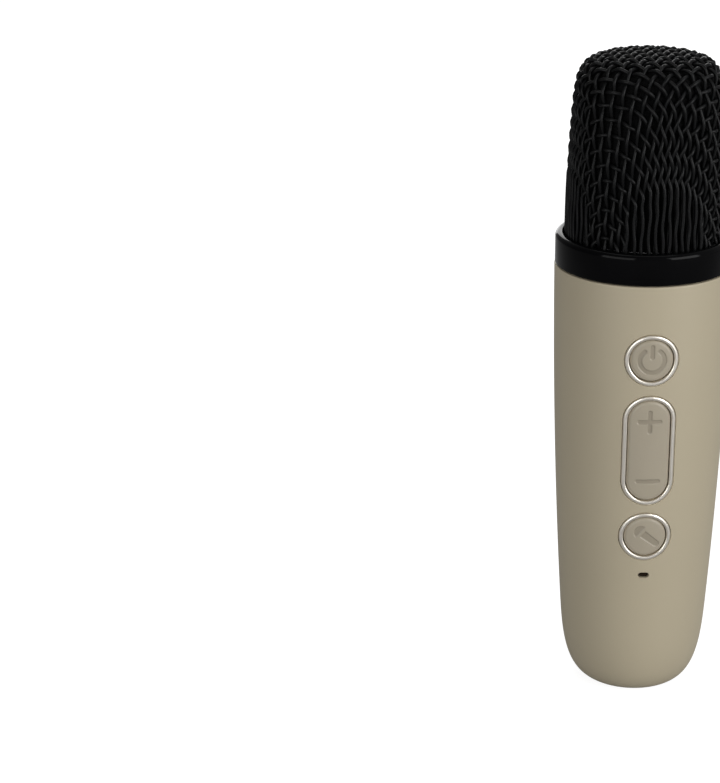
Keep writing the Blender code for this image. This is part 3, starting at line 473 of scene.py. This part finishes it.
def add_studio():
    """A white floor, a pale surround and soft lights."""
    mesh = bpy.data.meshes.new("floor")
    half = FLOOR_HALF
    mesh.from_pydata([(-half, -half, 0), (half, -half, 0), (half, half, 0), (-half, half, 0)],
                     [], [(0, 1, 2, 3)])
    floor = bpy.data.objects.new("floor", mesh)
    bpy.context.scene.collection.objects.link(floor)
    look, tree, shader = node_material("floor_paper")
    shader.inputs["Base Color"].default_value = (*[FLOOR_GREY] * 3, 1.0)
    shader.inputs["Roughness"].default_value = 0.9
    shader.inputs["Emission Color"].default_value = WHITE
    path = tree.nodes.new("ShaderNodeLightPath")
    glow = tree.nodes.new("ShaderNodeMapRange")
    glow.inputs["To Min"].default_value, glow.inputs["To Max"].default_value = FLOOR_GLOW
    tree.links.new(path.outputs["Is Camera Ray"], glow.inputs["Value"])
    tree.links.new(glow.outputs["Result"], shader.inputs["Emission Strength"])
    mesh.materials.append(look)
    world = bpy.data.worlds.new("studio")
    world.use_nodes = True
    bpy.context.scene.world = world
    tree = world.node_tree
    surround = tree.nodes["Background"]
    surround.inputs["Color"].default_value = WHITE
    coordinates = tree.nodes.new("ShaderNodeTexCoord")
    parts = tree.nodes.new("ShaderNodeSeparateXYZ")
    strength = tree.nodes.new("ShaderNodeMapRange")
    strength.inputs["From Min"].default_value = -1.0
    strength.inputs["From Max"].default_value = 1.0
    strength.inputs["To Min"].default_value = SURROUND_STRENGTH[0]
    strength.inputs["To Max"].default_value = SURROUND_STRENGTH[1]
    tree.links.new(coordinates.outputs["Generated"], parts.inputs["Vector"])
    tree.links.new(parts.outputs["X"], strength.inputs["Value"])
    tree.links.new(strength.outputs["Result"], surround.inputs["Strength"])
    seen = tree.nodes.new("ShaderNodeBackground")
    seen.inputs["Color"].default_value = WHITE
    seen.inputs["Strength"].default_value = BACKDROP_STRENGTH
    path = tree.nodes.new("ShaderNodeLightPath")
    mix = tree.nodes.new("ShaderNodeMixShader")
    tree.links.new(path.outputs["Is Camera Ray"], mix.inputs["Fac"])
    tree.links.new(surround.outputs["Background"], mix.inputs[1])
    tree.links.new(seen.outputs["Background"], mix.inputs[2])
    tree.links.new(mix.outputs["Shader"], tree.nodes["World Output"].inputs["Surface"])
    for light in LIGHTS:
        add_area_light(*light)
    bpy.context.scene.view_settings.view_transform = "Standard"


# Handle pieces

def side_steps_of(half_width, half_length, steps):
    """Steps along a control's straight side: a round one has no straight side."""
    return 1 if half_length - half_width < MM else steps


def add_handle():
    """The one-piece shell, with its windows, indicator slot and charging port."""
    rim = 0.35 * MM
    outer = handle_outline(0.0, 150, 40)
    inner = handle_outline(WALL, 24, 16)[::-1]
    outer = outer[outer[:, 1] <= HANDLE_HEIGHT - rim]
    edge = corner((HANDLE_RADIUS - rim, HANDLE_HEIGHT - rim), rim, 90, 0, 4)
    profile = [*edge, *map(tuple, outer), *map(tuple, inner)]
    shell = turned_mesh("handle_shell", profile)
    cutters = []
    for height, half_width, half_length in CONTROLS.values():
        clearance = [(-TRIM_GAP, -5 * MM), (-TRIM_GAP, -0.2 * MM),
                     (-TRIM_GAP - 0.05 * MM, -0.07 * MM), (-TRIM_GAP - 0.16 * MM, 0.02 * MM),
                     (-TRIM_GAP - 0.25 * MM, 5 * MM)]
        loops = wrapped_loops(half_width, half_length, clearance, height, 24,
                              side_steps_of(half_width, half_length, 40))
        cutters.append(build_mesh("window", *skin(loops, False)))
    low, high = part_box("indicator_window")
    slot_height = (low[2] + high[2]) / 2
    slot_steps = [(0.0, -4 * MM), (0.0, -0.15 * MM), (-0.05 * MM, 0.0), (-0.12 * MM, 2 * MM)]
    half_width = (high[0] - low[0]) / 2 + GAP
    half_length = (high[2] - low[2]) / 2 + GAP
    loops = wrapped_loops(half_width, half_length, slot_steps, slot_height, 12, 1)
    cutters.append(build_mesh("slot", *skin(loops, False)))
    low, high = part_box("charge_socket")
    port = stadium((high[0] - low[0]) / 2 + GAP, (high[1] - low[1]) / 2 + GAP, 12, 1)
    loops = [np.column_stack((port, np.full(len(port), z))) for z in (-MM, 3 * MM)]
    cutters.append(build_mesh("port", *skin(loops, False)))
    shell = cut_mesh(shell, cutters)
    add_piece("handle_shell", shell, BODY_PLASTIC, "body_plastic", "handle", "body_shell")


def add_collar():
    """The glossy collar, with a round top edge, over its spigot in the handle."""
    low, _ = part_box("collar_ring")
    bore = GRILLE_RADIUS + GAP
    round_top = 1.3 * MM
    round_foot = 0.25 * MM
    foot = HANDLE_HEIGHT + GAP
    spigot = HANDLE_RADIUS - WALL - GAP
    _, mount_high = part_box("capsule_mount")
    mount_radius = mount_high[0] + GAP
    shoulder = 110.7 * MM
    neck_bore = NECK_RADIUS + GAP
    lead_in = 0.4 * MM
    profile = [
        *corner((bore + lead_in, COLLAR_TOP - lead_in), lead_in, 180, 90, 4),
        *corner((COLLAR_RADIUS - round_top, COLLAR_TOP - round_top), round_top, 90, 0, 12),
        *corner((COLLAR_RADIUS - round_foot, foot + round_foot), round_foot, 0, -90, 4),
        (spigot, foot), (spigot, low[2]), (mount_radius, low[2]), (mount_radius, shoulder),
        (neck_bore, shoulder), (neck_bore, LEDGE), (bore, LEDGE)]
    add_piece("collar", turned_mesh("collar", profile), COLLAR_PLASTIC, "collar_plastic",
              "handle", "collar_ring")


def add_bezels():
    """The plated rings round the controls: a soft round section that follows the handle."""
    proud = 0.3 * MM
    width = BEZEL_WIDTH
    depth = 2.2 * MM
    section = [(0.0, -depth), (0.0, 0.0)]
    for angle in (150, 120, 90, 60, 30):
        section.append((width / 2 + 0.46 * width * math.cos(math.radians(angle)),
                        proud * math.sin(math.radians(angle))))
    section += [(width, 0.0), (width, -depth)]
    for name, (height, half_width, half_length) in CONTROLS.items():
        loops = wrapped_loops(half_width, half_length, section, height, 32,
                              side_steps_of(half_width, half_length, 60))
        add_piece(f"{name}_trim", build_mesh(f"{name}_trim", *skin(loops, True), 60),
                  BRIGHT_TRIM, "bright_trim", "handle", f"{name}_bezel")


def segment_distance(points, start, end):
    """Distance of points from a straight stroke's middle line."""
    start, end = np.array(start), np.array(end)
    along = end - start
    share = np.clip((points - start) @ along / (along @ along), 0.0, 1.0)
    return np.linalg.norm(points - start - share[:, None] * along, axis=1), share


def power_symbol(points):
    """Signed distance from an open ring with a bar in its gap, in millimetres."""
    ring_radius, half_stroke, gap_degrees = 3.1, 0.55, 38.0
    radius = np.linalg.norm(points, axis=1)
    angle = np.degrees(np.abs(np.arctan2(points[:, 0], points[:, 1])))
    ring = np.abs(radius - ring_radius)
    gap = math.radians(gap_degrees)
    end = ring_radius * np.array((math.sin(gap), math.cos(gap)))
    to_end = np.linalg.norm(np.abs(points) * (1, 0) + points * (0, 1) - end, axis=1)
    ring = np.where(angle > gap_degrees, ring, to_end) - half_stroke
    bar, _ = segment_distance(points, (0.0, 1.0), (0.0, 3.6))
    return np.minimum(ring, bar - half_stroke)


def volume_symbol(points):
    """Signed distance from a plus above and a minus below, in millimetres."""
    half_bar, half_stroke, plus_y, minus_y = 2.55, 0.54, 7.9, -8.3
    strokes = (((-half_bar, plus_y), (half_bar, plus_y)),
               ((0.0, plus_y - half_bar), (0.0, plus_y + half_bar)),
               ((-half_bar, minus_y), (half_bar, minus_y)))
    return np.min([segment_distance(points, *stroke)[0] for stroke in strokes],
                  axis=0) - half_stroke


def voice_symbol(points):
    """Signed distance from a small slanted microphone, in millimetres."""
    middle = np.array((-1.1, 1.2))
    along = np.array((1.0, -0.8)) / math.hypot(1.0, 0.8)
    past = (points - middle) @ along
    head = np.maximum(np.linalg.norm(points - middle, axis=1) - 1.8, past + 0.25)
    grip, share = segment_distance(points, middle + 0.6 * along, middle + 5.0 * along)
    return np.minimum(head, np.maximum(grip - (1.0 - 0.2 * share), 0.55 - past))


CAP_EDGE = 0.85 * MM
CAP_PROUD = 0.15 * MM               # its edge over the handle
CAP_CROWN = 0.12 * MM               # its middle over its edge
CAP_DEPTH = 3.0 * MM
SYMBOL_SLOPE = 0.36                 # mm from a symbol's floor up to the cap


def cap_mesh(name, height, half_width, half_length, symbol):
    """A button cap with a round edge, a slight crown and a sunk symbol, whose depth is also kept
    as the mask for the symbol's painted shade.
    """
    inset = BEZEL_WIDTH + CAP_GAP
    half_width -= inset
    half_length -= inset
    long_cap = half_length - half_width > MM
    arc_steps, side_steps = (40, 150) if long_cap else (80, 1)
    steps = [(0.0, -CAP_DEPTH)]
    steps += [(CAP_EDGE * (1 - math.cos(a)), CAP_PROUD - CAP_EDGE * (1 - math.sin(a)))
              for a in np.radians(np.linspace(0, 80, 10))]
    first_top = steps[-1][0]
    loops = wrapped_loops(half_width, half_length, steps, height, arc_steps, side_steps)
    sunk = [np.zeros(len(loop)) for loop in loops]
    for share in np.linspace(0.0, 1.0, 50)[1:]:
        flat = stadium(half_width - (first_top + share * (half_width - first_top)),
                       half_length - (first_top + share * (half_width - first_top)),
                       arc_steps, side_steps)
        distance = symbol(flat / MM)
        sink = np.clip(0.5 - distance / SYMBOL_SLOPE, 0.0, 1.0)
        sink = sink * sink * (3 - 2 * sink)
        out = CAP_PROUD + CAP_CROWN * (1 - (1 - share) ** 2) - sink * SYMBOL_DEPTH
        loops.append(wrapped(flat, out, height))
        sunk.append(sink)
    vertices, faces = skin(loops, False)
    mesh = bpy.data.meshes.new(name)
    mesh.from_pydata(vertices.tolist(), [], faces)
    # The sunk attribute: where the cap's material paints shade into the symbol's groove
    mesh.attributes.new("sunk", "FLOAT", "POINT").data.foreach_set("value", np.concatenate(sunk))
    return welded(mesh, 60)


def add_caps():
    """The two round buttons and the rocker."""
    for name, node, symbol in (("power", "power_button", power_symbol),
                               ("volume", "volume_rocker", volume_symbol),
                               ("mode", "mode_button", voice_symbol)):
        mesh = cap_mesh(f"{name}_cap", *CONTROLS[name], symbol)
        add_piece(f"{name}_cap", mesh, CAP_PLASTIC, "cap_plastic", node, node)


# Grille: a plain weave drawn over the cup

CELL_ON_CROWN = 2.9 * MM           # wire to wire before drawing
CELL_ACROSS = 2.4 * MM              # on the side: along a level wire
CELL_DOWN = 3.4 * MM                # and along a stretched upright wire
LEAST_PITCH = (0.62 * MM, 0.85 * MM)            # between crowded crossings: at the collar, above
WIRE_RADIUS = 0.46 * MM
CRIMP = 0.47 * MM                   # how far a wire's middle swings over and under
WEAVE_MIDDLE = 0.95 * MM            # of the weave, under the grille's outline
CELLS = 26                          # from the crown's middle out, on each side
WEAVE_TURN = math.radians(-127)     # where the first straight row runs down
WIRE_FOOT = 119.9 * MM
PARALLEL_TOP = 17.0 * MM            # over the collar: the wires below it stop crossing
PARALLEL_DROP = 0.0665 / MM         # and how much lower they do so beside its middle
PARALLEL_HALF = 12.1 * MM           # from its middle to its side, at the collar
PARALLEL_LEAN = 0.2                 # how much narrower it is for each step up
WAVE = 0.22 * MM                    # how far a parallel wire wanders sideways,
WAVE_LENGTH = 11 * MM               # and over what length
WIRE_SIDES = 7
WIRE_STEPS = 4                      # from one crossing to the next
DRAWN_FROM = 3 * MM                 # under the crown's top: where the drawing starts to tell,
DRAWN_OVER = 8 * MM                 # and over what depth it grows to its full amount
SEARCH_ROUNDS, SEARCH_ERROR = 40, 1e-8
FAN_ROUNDS, LENGTH_ROUNDS, EASE_ROUNDS = 12, 3, 3
EASE = 0.25


def grille_outline(inset, foot, steps):
    """The grille's surface, or one inside it, from its crown down to a foot."""
    side_top = COLLAR_TOP + GRILLE_SIDE_HEIGHT
    crown = curve_points((0.0, GRILLE_TOP), (17.5 * MM, GRILLE_TOP),
                         (18.2 * MM, GRILLE_TOP - 1.2 * MM),
                         (GRILLE_RADIUS - GRILLE_SIDE_DRAFT, side_top), steps)
    shares = np.linspace(1.0, 0.0, 12)[1:]
    side = np.column_stack((GRILLE_RADIUS - GRILLE_SIDE_DRAFT * shares ** 2,
                            COLLAR_TOP + GRILLE_SIDE_HEIGHT * shares))
    points = np.concatenate((crown, side, [(GRILLE_RADIUS, foot)]))
    along = np.gradient(points, axis=0)
    along /= np.linalg.norm(along, axis=1)[:, None]
    inward = np.column_stack((along[:, 1], -along[:, 0]))
    inward[0] = (0.0, -1.0)
    return points + inset * inward, -inward


class Cup:
    """The middle surface of the weave, by depth along it from the crown and by azimuth."""

    def __init__(self):
        self.outline, self.outward = grille_outline(WEAVE_MIDDLE, 0.0, 40)
        steps = np.linalg.norm(np.diff(self.outline, axis=0), axis=1)
        self.length = np.concatenate(([0.0], np.cumsum(steps)))

    def radius(self, depth):
        return np.interp(depth, self.length, self.outline[:, 0])

    def height(self, depth):
        return np.interp(depth, self.length, self.outline[:, 1])

    def point(self, depth, azimuth):
        radius = self.radius(depth)
        return np.stack((radius * np.cos(azimuth), radius * np.sin(azimuth),
                         self.height(depth)), axis=-1)

    def normal(self, depth, azimuth):
        level = np.interp(depth, self.length, self.outward[:, 0])
        return np.stack((level * np.cos(azimuth), level * np.sin(azimuth),
                         np.interp(depth, self.length, self.outward[:, 1])), axis=-1)


def side_share(height):
    """How much of the drawing a wire at this height has had: none on the crown, all below."""
    return min(max((GRILLE_TOP - DRAWN_FROM - height) / DRAWN_OVER, 0.0), 1.0)


def cell_length(height, steep):
    """The length of a wire between two crossings; steep is 1 where it runs down."""
    return CELL_ON_CROWN + side_share(height) * (
        CELL_ACROSS - CELL_ON_CROWN + (CELL_DOWN - CELL_ACROSS) * steep)


def meet(cup, first, second, length_1, length_2, guess):
    """The place on the cup at given lengths from two crossings, or None."""
    place = np.array(guess)
    steps = np.array((1e-6, 1e-5))

    def error(where):
        point = cup.point(*where)
        return np.array((np.linalg.norm(point - first) - length_1,
                         np.linalg.norm(point - second) - length_2))

    for _ in range(SEARCH_ROUNDS):
        here = error(place)
        if np.abs(here).max() < SEARCH_ERROR:
            return place
        slope = np.column_stack([(error(place + np.eye(2)[k] * steps[k]) - here) / steps[k]
                                 for k in range(2)])
        if abs(np.linalg.det(slope)) < 1e-12:
            return None
        place = place + np.clip(np.linalg.solve(slope, -here), (-MM, -0.1), (MM, 0.1))
    return None


def drape_quarter(cup):
    """Depth and azimuth of a quarter's crossings, with every wire's length kept."""
    depth = np.zeros((CELLS, CELLS))
    azimuth = np.zeros((CELLS, CELLS))
    azimuth[0, 1:] = math.pi / 2
    for i in range(1, CELLS):
        depth[i, 0] = depth[i - 1, 0] + cell_length(cup.height(depth[i - 1, 0]), 1.0)
        depth[0, i] = depth[i, 0]
    for i in range(1, CELLS):
        for j in range(1, CELLS):
            corners = [cup.point(depth[a, b], azimuth[a, b])
                       for a, b in ((i - 1, j), (i, j - 1), (i - 1, j - 1))]
            lengths = []
            for k in (1, 0):
                run = corners[k] - corners[2]
                steep = (run[2] / np.linalg.norm(run)) ** 2
                lengths.append(cell_length((corners[k][2] + corners[2][2]) / 2, steep))
            reach = max(depth[i - 1, j], depth[i, j - 1])
            middle = (azimuth[i - 1, j] + azimuth[i, j - 1]) / 2
            guess = (reach + 0.3 * lengths[0], middle)
            if i == j == 1:
                guess = (math.hypot(*lengths), math.pi / 4)
            found = meet(cup, corners[0], corners[1], *lengths, guess)
            if found is None or found[0] <= min(depth[i - 1, j], depth[i, j - 1]):
                found = (reach + CELL_DOWN, middle)
            depth[i, j], azimuth[i, j] = found
    return depth, azimuth


def spread_apart(cup, depth, offset):
    """Offsets from the quarter's middle with crowded crossings moved apart."""
    curves = [(np.diagonal(depth, -c), np.diagonal(offset, -c)) for c in range(CELLS)]
    starts = np.array([curve[0][0] for curve in curves])
    result = offset.copy()
    for i in range(CELLS):
        for j in range(i + 1):
            present = np.flatnonzero(starts <= depth[i, j])
            places = [np.interp(depth[i, j], *curves[c]) for c in present]
            gaps = np.diff([0.0, *places[1:], math.pi / 4])
            rise = (cup.height(depth[i, j]) - COLLAR_TOP) / PARALLEL_TOP
            pitch = np.interp(rise, (0.0, 1.0), LEAST_PITCH)
            least = np.full(len(gaps), pitch / max(cup.radius(depth[i, j]), MM))
            least[-1] = min(least[-1], gaps[-1])
            short = np.maximum(least - gaps, 0.0).sum()
            extra = np.maximum(gaps - least, 0.0)
            if short > 0 and extra.sum() > 0:
                gaps = np.maximum(gaps, least) - extra * min(1.0, short / extra.sum())
            result[i, j] = gaps[:i - j].sum()
    return result


def open_fan(cup, depth, azimuth):
    """Move crowded crossings apart, and let the wires beside them drop to keep their length."""
    lower = np.tril(np.ones((CELLS, CELLS), bool))
    original = np.where(lower, math.pi / 4 - azimuth, 0.0)
    offset = original
    for _ in range(FAN_ROUNDS):
        offset = spread_apart(cup, depth, original)
        dropped = depth.copy()
        for i in range(1, CELLS):
            for j in range(1, i + 1):
                share = side_share(cup.height(depth[i, j]))
                ends = []
                for a, b in ((i - 1, j), (i, j - 1)):
                    beside = offset[a, b] if a >= b else -offset[b, a]
                    across = cup.radius(depth[i, j]) * abs(offset[i, j] - beside)
                    length = CELL_ACROSS
                    for _ in range(LENGTH_ROUNDS):
                        steep = max(1 - (across / length) ** 2, 0.0)
                        length = cell_length(cup.height(depth[i, j]), steep)
                    ends.append(dropped[max(a, b), min(a, b)]
                                + math.sqrt(max(length ** 2 - across ** 2, 0.0)))
                dropped[i, j] += share * (sum(ends) / 2 - dropped[i, j])
        depth = (depth + dropped) / 2
    offset = np.where(lower, offset, -offset.T)
    depth = np.where(lower, depth, depth.T)
    return depth, math.pi / 4 - offset


def weave_crossings():
    """Depth, azimuth and crowding of every crossing of the weave, in rows and columns."""
    cup = Cup()
    depth, azimuth = open_fan(cup, *drape_quarter(cup))
    size = 2 * CELLS - 1
    depths, azimuths = np.zeros((size, size)), np.zeros((size, size))
    middle = CELLS - 1
    i, j = np.meshgrid(np.arange(CELLS), np.arange(CELLS), indexing="ij")
    for turn, (u, v) in enumerate(((i, j), (-j, i), (-i, -j), (j, -i))):
        depths[middle + u, middle + v] = depth
        azimuths[middle + u, middle + v] = azimuth + turn * math.pi / 2 + WEAVE_TURN
    depths, azimuths = rounded(cup, depths, azimuths)
    aside = (azimuths - WEAVE_TURN) % (math.pi / 2) - math.pi / 4
    aside = np.abs(aside) * cup.radius(depths)
    rise = cup.height(depths) - COLLAR_TOP
    crowded = ((rise < PARALLEL_TOP - PARALLEL_DROP * aside ** 2)
               & (aside < PARALLEL_HALF - PARALLEL_LEAN * rise))
    return cup, depths, azimuths, crowded


def rounded(cup, depths, azimuths):
    """The crossings with the wires' sharp turns eased."""
    nodes = cup.point(depths, azimuths)
    for _ in range(EASE_ROUNDS):
        eased = nodes.copy()
        eased[1:-1] += EASE * (nodes[2:] + nodes[:-2] - 2 * nodes[1:-1])
        eased[:, 1:-1] += EASE * (nodes[:, 2:] + nodes[:, :-2] - 2 * nodes[:, 1:-1])
        nodes = eased
    lower = nodes[..., 2] < COLLAR_TOP + GRILLE_SIDE_HEIGHT
    found = np.interp(-nodes[..., 2], -cup.outline[:, 1], cup.length)
    return (np.where(lower, found, depths),
            np.where(lower, np.arctan2(nodes[..., 1], nodes[..., 0]), azimuths))


def settle(depth, azimuth, crowded, swing):
    """Keep a wire on its own line, in front or behind, from its first crowded crossing down."""
    azimuth, swing = azimuth.copy(), swing.copy()
    top = int(np.argmin(depth))
    for step in (-1, 1):
        held = None
        k = top
        while 0 <= k < len(depth):
            if held is None and crowded[k]:
                held = (azimuth[k], swing[k], random.uniform(0.0, 2 * math.pi))
            elif held is not None:
                run = 2 * math.pi * depth[k] / WAVE_LENGTH + held[2]
                azimuth[k] = held[0] + WAVE / GRILLE_RADIUS * math.sin(run)
                swing[k] = held[1]
            k += step
    return azimuth, swing


def wire_path(cup, depth, azimuth, swing):
    """A crimped wire's middle line and the directions away from the cup along it."""
    nodes = cup.point(depth, azimuth)
    normals = cup.normal(depth, azimuth)
    padded = np.concatenate((2 * nodes[:1] - nodes[1:2], nodes, 2 * nodes[-1:] - nodes[-2:-1]))
    line, away = [], []
    for k in range(len(nodes) - 1):
        a, b, c, d = padded[k:k + 4]
        for t in np.arange(WIRE_STEPS) / WIRE_STEPS:
            point = 0.5 * (2 * b + (c - a) * t + (2 * a - 5 * b + 4 * c - d) * t * t
                           + (3 * b - a - 3 * c + d) * t ** 3)
            normal = normals[k] * (1 - t) + normals[k + 1] * t
            normal /= np.linalg.norm(normal)
            ease = (1 - math.cos(math.pi * t)) / 2
            line.append(point + (swing[k] * (1 - ease) + swing[k + 1] * ease) * normal)
            away.append(normal)
    return np.array(line), np.array(away)


def wire_tube(line, away):
    """Vertices and faces of a closed round wire along a line."""
    along = np.gradient(line, axis=0)
    along /= np.linalg.norm(along, axis=1)[:, None]
    beside = np.cross(along, away)
    beside /= np.linalg.norm(beside, axis=1)[:, None]
    over = np.cross(beside, along)
    angles = 2 * math.pi * np.arange(WIRE_SIDES) / WIRE_SIDES
    loops = [centre + WIRE_RADIUS * (np.outer(np.cos(angles), o)
                                     + np.outer(np.sin(angles), b))
             for centre, o, b in zip(line, over, beside)]
    return skin(loops, False)


def hem_profile():
    """The hem that the wires end in, under the collar's top edge."""
    inner, liner, outer = (GRILLE_RADIUS - depth for depth in (1.8 * MM, 1.5 * MM, 0.12 * MM))
    foot, top, liner_top = WIRE_FOOT - 0.05 * MM, WIRE_FOOT + 1.5 * MM, COLLAR_TOP - 0.5 * MM
    edge = 0.3 * MM
    return [(inner, liner_top), (liner, liner_top), (liner, top),
            *corner((outer - edge, top - edge), edge, 90, 0, 4),
            *corner((outer - edge, foot + edge), edge, 0, -90, 4), (inner, foot)]


def add_grille():
    """Every wire of the grille, woven over and under, down to the ring that holds it."""
    random.seed(7)
    cup, depths, azimuths, crowded = weave_crossings()
    vertices, faces, used = [], [], 0
    size = len(depths)
    for family in range(2):
        for k in range(size):
            at = (k, slice(None)) if family else (slice(None), k)
            over = CRIMP * (-1.0) ** (np.arange(size) + k + family)
            azimuth, swing = settle(depths[at], azimuths[at], crowded[at], over)
            line, away = wire_path(cup, depths[at], azimuth, swing)
            above = line[:, 2] > WIRE_FOOT
            edges = np.flatnonzero(np.diff(np.concatenate(([0], above, [0]))))
            for start, end in zip(edges[::2], edges[1::2]):
                if end - start < 3:
                    continue
                points, polygons = wire_tube(line[start:end], away[start:end])
                vertices.append(points)
                faces += [[index + used for index in polygon] for polygon in polygons]
                used += len(points)
    points, polygons = skin(circle_loops(hem_profile()), True)
    vertices.append(points)
    faces += [[index + used for index in polygon] for polygon in polygons]
    mesh = bpy.data.meshes.new("woven_grille")
    mesh.from_pydata(np.concatenate(vertices).tolist(), [], faces)
    mesh.shade_smooth()
    mesh.set_sharp_from_angle(angle=math.radians(70))
    add_piece("woven_grille", mesh, GRILLE_WIRE, "grille_wire", "head", "grille")


def add_windscreen():
    """The open-cell foam cup behind the wires."""
    low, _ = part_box("windscreen")
    outer, _ = grille_outline(WEAVE_DEPTH, low[2], 60)
    outer[-1, 1] = low[2]
    inner, _ = grille_outline(WEAVE_DEPTH + 3 * MM, low[2], 20)
    inner[0, 0] = 0.0
    outer[0, 0] = 0.0
    profile = [*map(tuple, outer), *map(tuple, inner[::-1])]
    mesh = turned_mesh("foam_windscreen", profile, closed=False, sides=160)
    piece = add_piece("foam_windscreen", mesh, WINDSCREEN_FOAM, "windscreen_foam", "head",
                      "windscreen")


# What shows when the head is off

THREAD_PITCH = 1.7 * MM
THREAD_DEPTH = 0.38 * MM
THREAD_STEPS = 72                   # circles along the thread


def add_threaded_ring():
    """The ring that the wires are crimped in, with the thread on its neck."""
    low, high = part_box("grille_ring")
    shoulder = LEDGE + GAP
    flange = WIRE_FOOT - 0.15 * MM
    upstand = GRILLE_RADIUS - WEAVE_DEPTH
    inner = upstand - 1.1 * MM
    lip = 0.25 * MM
    start, end = shoulder - 0.6 * MM, low[2] + 0.5 * MM
    above = [
        (inner, flange), (inner, high[2]), *corner((upstand - lip, high[2] - lip), lip, 90, 0, 3),
        (upstand, flange), *corner((GRILLE_RADIUS - lip, flange - lip), lip, 90, 0, 4),
        *corner((GRILLE_RADIUS - lip, shoulder + lip), lip, 0, -90, 4), (NECK_RADIUS, shoulder)]
    below = [(NECK_RADIUS - lip, low[2]), (NECK_BORE + lip, low[2]),
             (NECK_BORE, low[2] + lip), (NECK_BORE, flange)]
    thread = circle_loops([(1.0, z) for z in np.linspace(start, end, THREAD_STEPS)])
    turn = np.arange(ROUND) / ROUND
    for loop in thread:
        height = loop[:, 2]
        ridge = np.abs(2 * ((height / THREAD_PITCH + turn) % 1.0) - 1)
        fade = np.clip(np.minimum(start - height, height - end) / (0.6 * MM), 0.0, 1.0)
        groove = np.clip(1.6 * ridge - 0.3, 0.0, 1.0) * THREAD_DEPTH * fade
        loop[:, :2] *= (NECK_RADIUS - groove)[:, None]
    loops = circle_loops(above) + thread + circle_loops(below)
    mesh = build_mesh("threaded_ring", *skin(loops, True), 50)
    add_piece("threaded_ring", mesh, CAPSULE_METAL, "capsule_metal", "head", "grille_ring")


def add_capsule():
    """The capsule's can and felt, in a ribbed rubber boot."""
    low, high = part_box("capsule")
    edge = 0.6 * MM
    can = [(0.0, high[2]), *corner((high[0] - edge, high[2] - edge), edge, 90, 0, 6),
           (high[0], low[2]), (0.0, low[2])]
    add_piece("capsule_can",
              turned_mesh("capsule_can", can, closed=False, sides=MEDIUM_ROUND),
              CAPSULE_METAL, "capsule_metal", "handle", "capsule")
    inner = high[0] + GAP
    low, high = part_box("capsule_felt")
    edge = 0.3 * MM
    felt = [(0.0, high[2]), *corner((high[0] - edge, high[2] - edge), edge, 90, 0, 4),
            (high[0], low[2]), (0.0, low[2])]
    add_piece("felt_disc", turned_mesh("felt_disc", felt, closed=False, sides=MEDIUM_ROUND),
              FELT, "felt", "handle", "capsule_felt")
    low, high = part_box("capsule_boot")
    edge = 0.5 * MM
    waist = 0.8 * MM
    narrow = high[0] - waist
    shares = np.linspace(0.0, 1.0, 49)[1:-1]        # two ribs, from the top down
    ribs = [(narrow + waist * 0.5 * (1 - math.cos(4 * math.pi * share)),
             high[2] - edge - share * (high[2] - low[2] - 2 * edge)) for share in shares]
    boot = [(inner, high[2]), *corner((narrow - edge, high[2] - edge), edge, 90, 0, 5), *ribs,
            *corner((narrow - edge, low[2] + edge), edge, 0, -90, 5), (inner, low[2])]
    add_piece("rubber_boot", turned_mesh("rubber_boot", boot, sides=MEDIUM_ROUND), BOOT_RUBBER,
              "boot_rubber", "handle", "capsule_boot")


finish_cad_nodes()
add_camera()
add_studio()
add_handle()
add_collar()
add_bezels()
add_caps()
add_grille()
add_windscreen()
add_threaded_ring()
add_capsule()
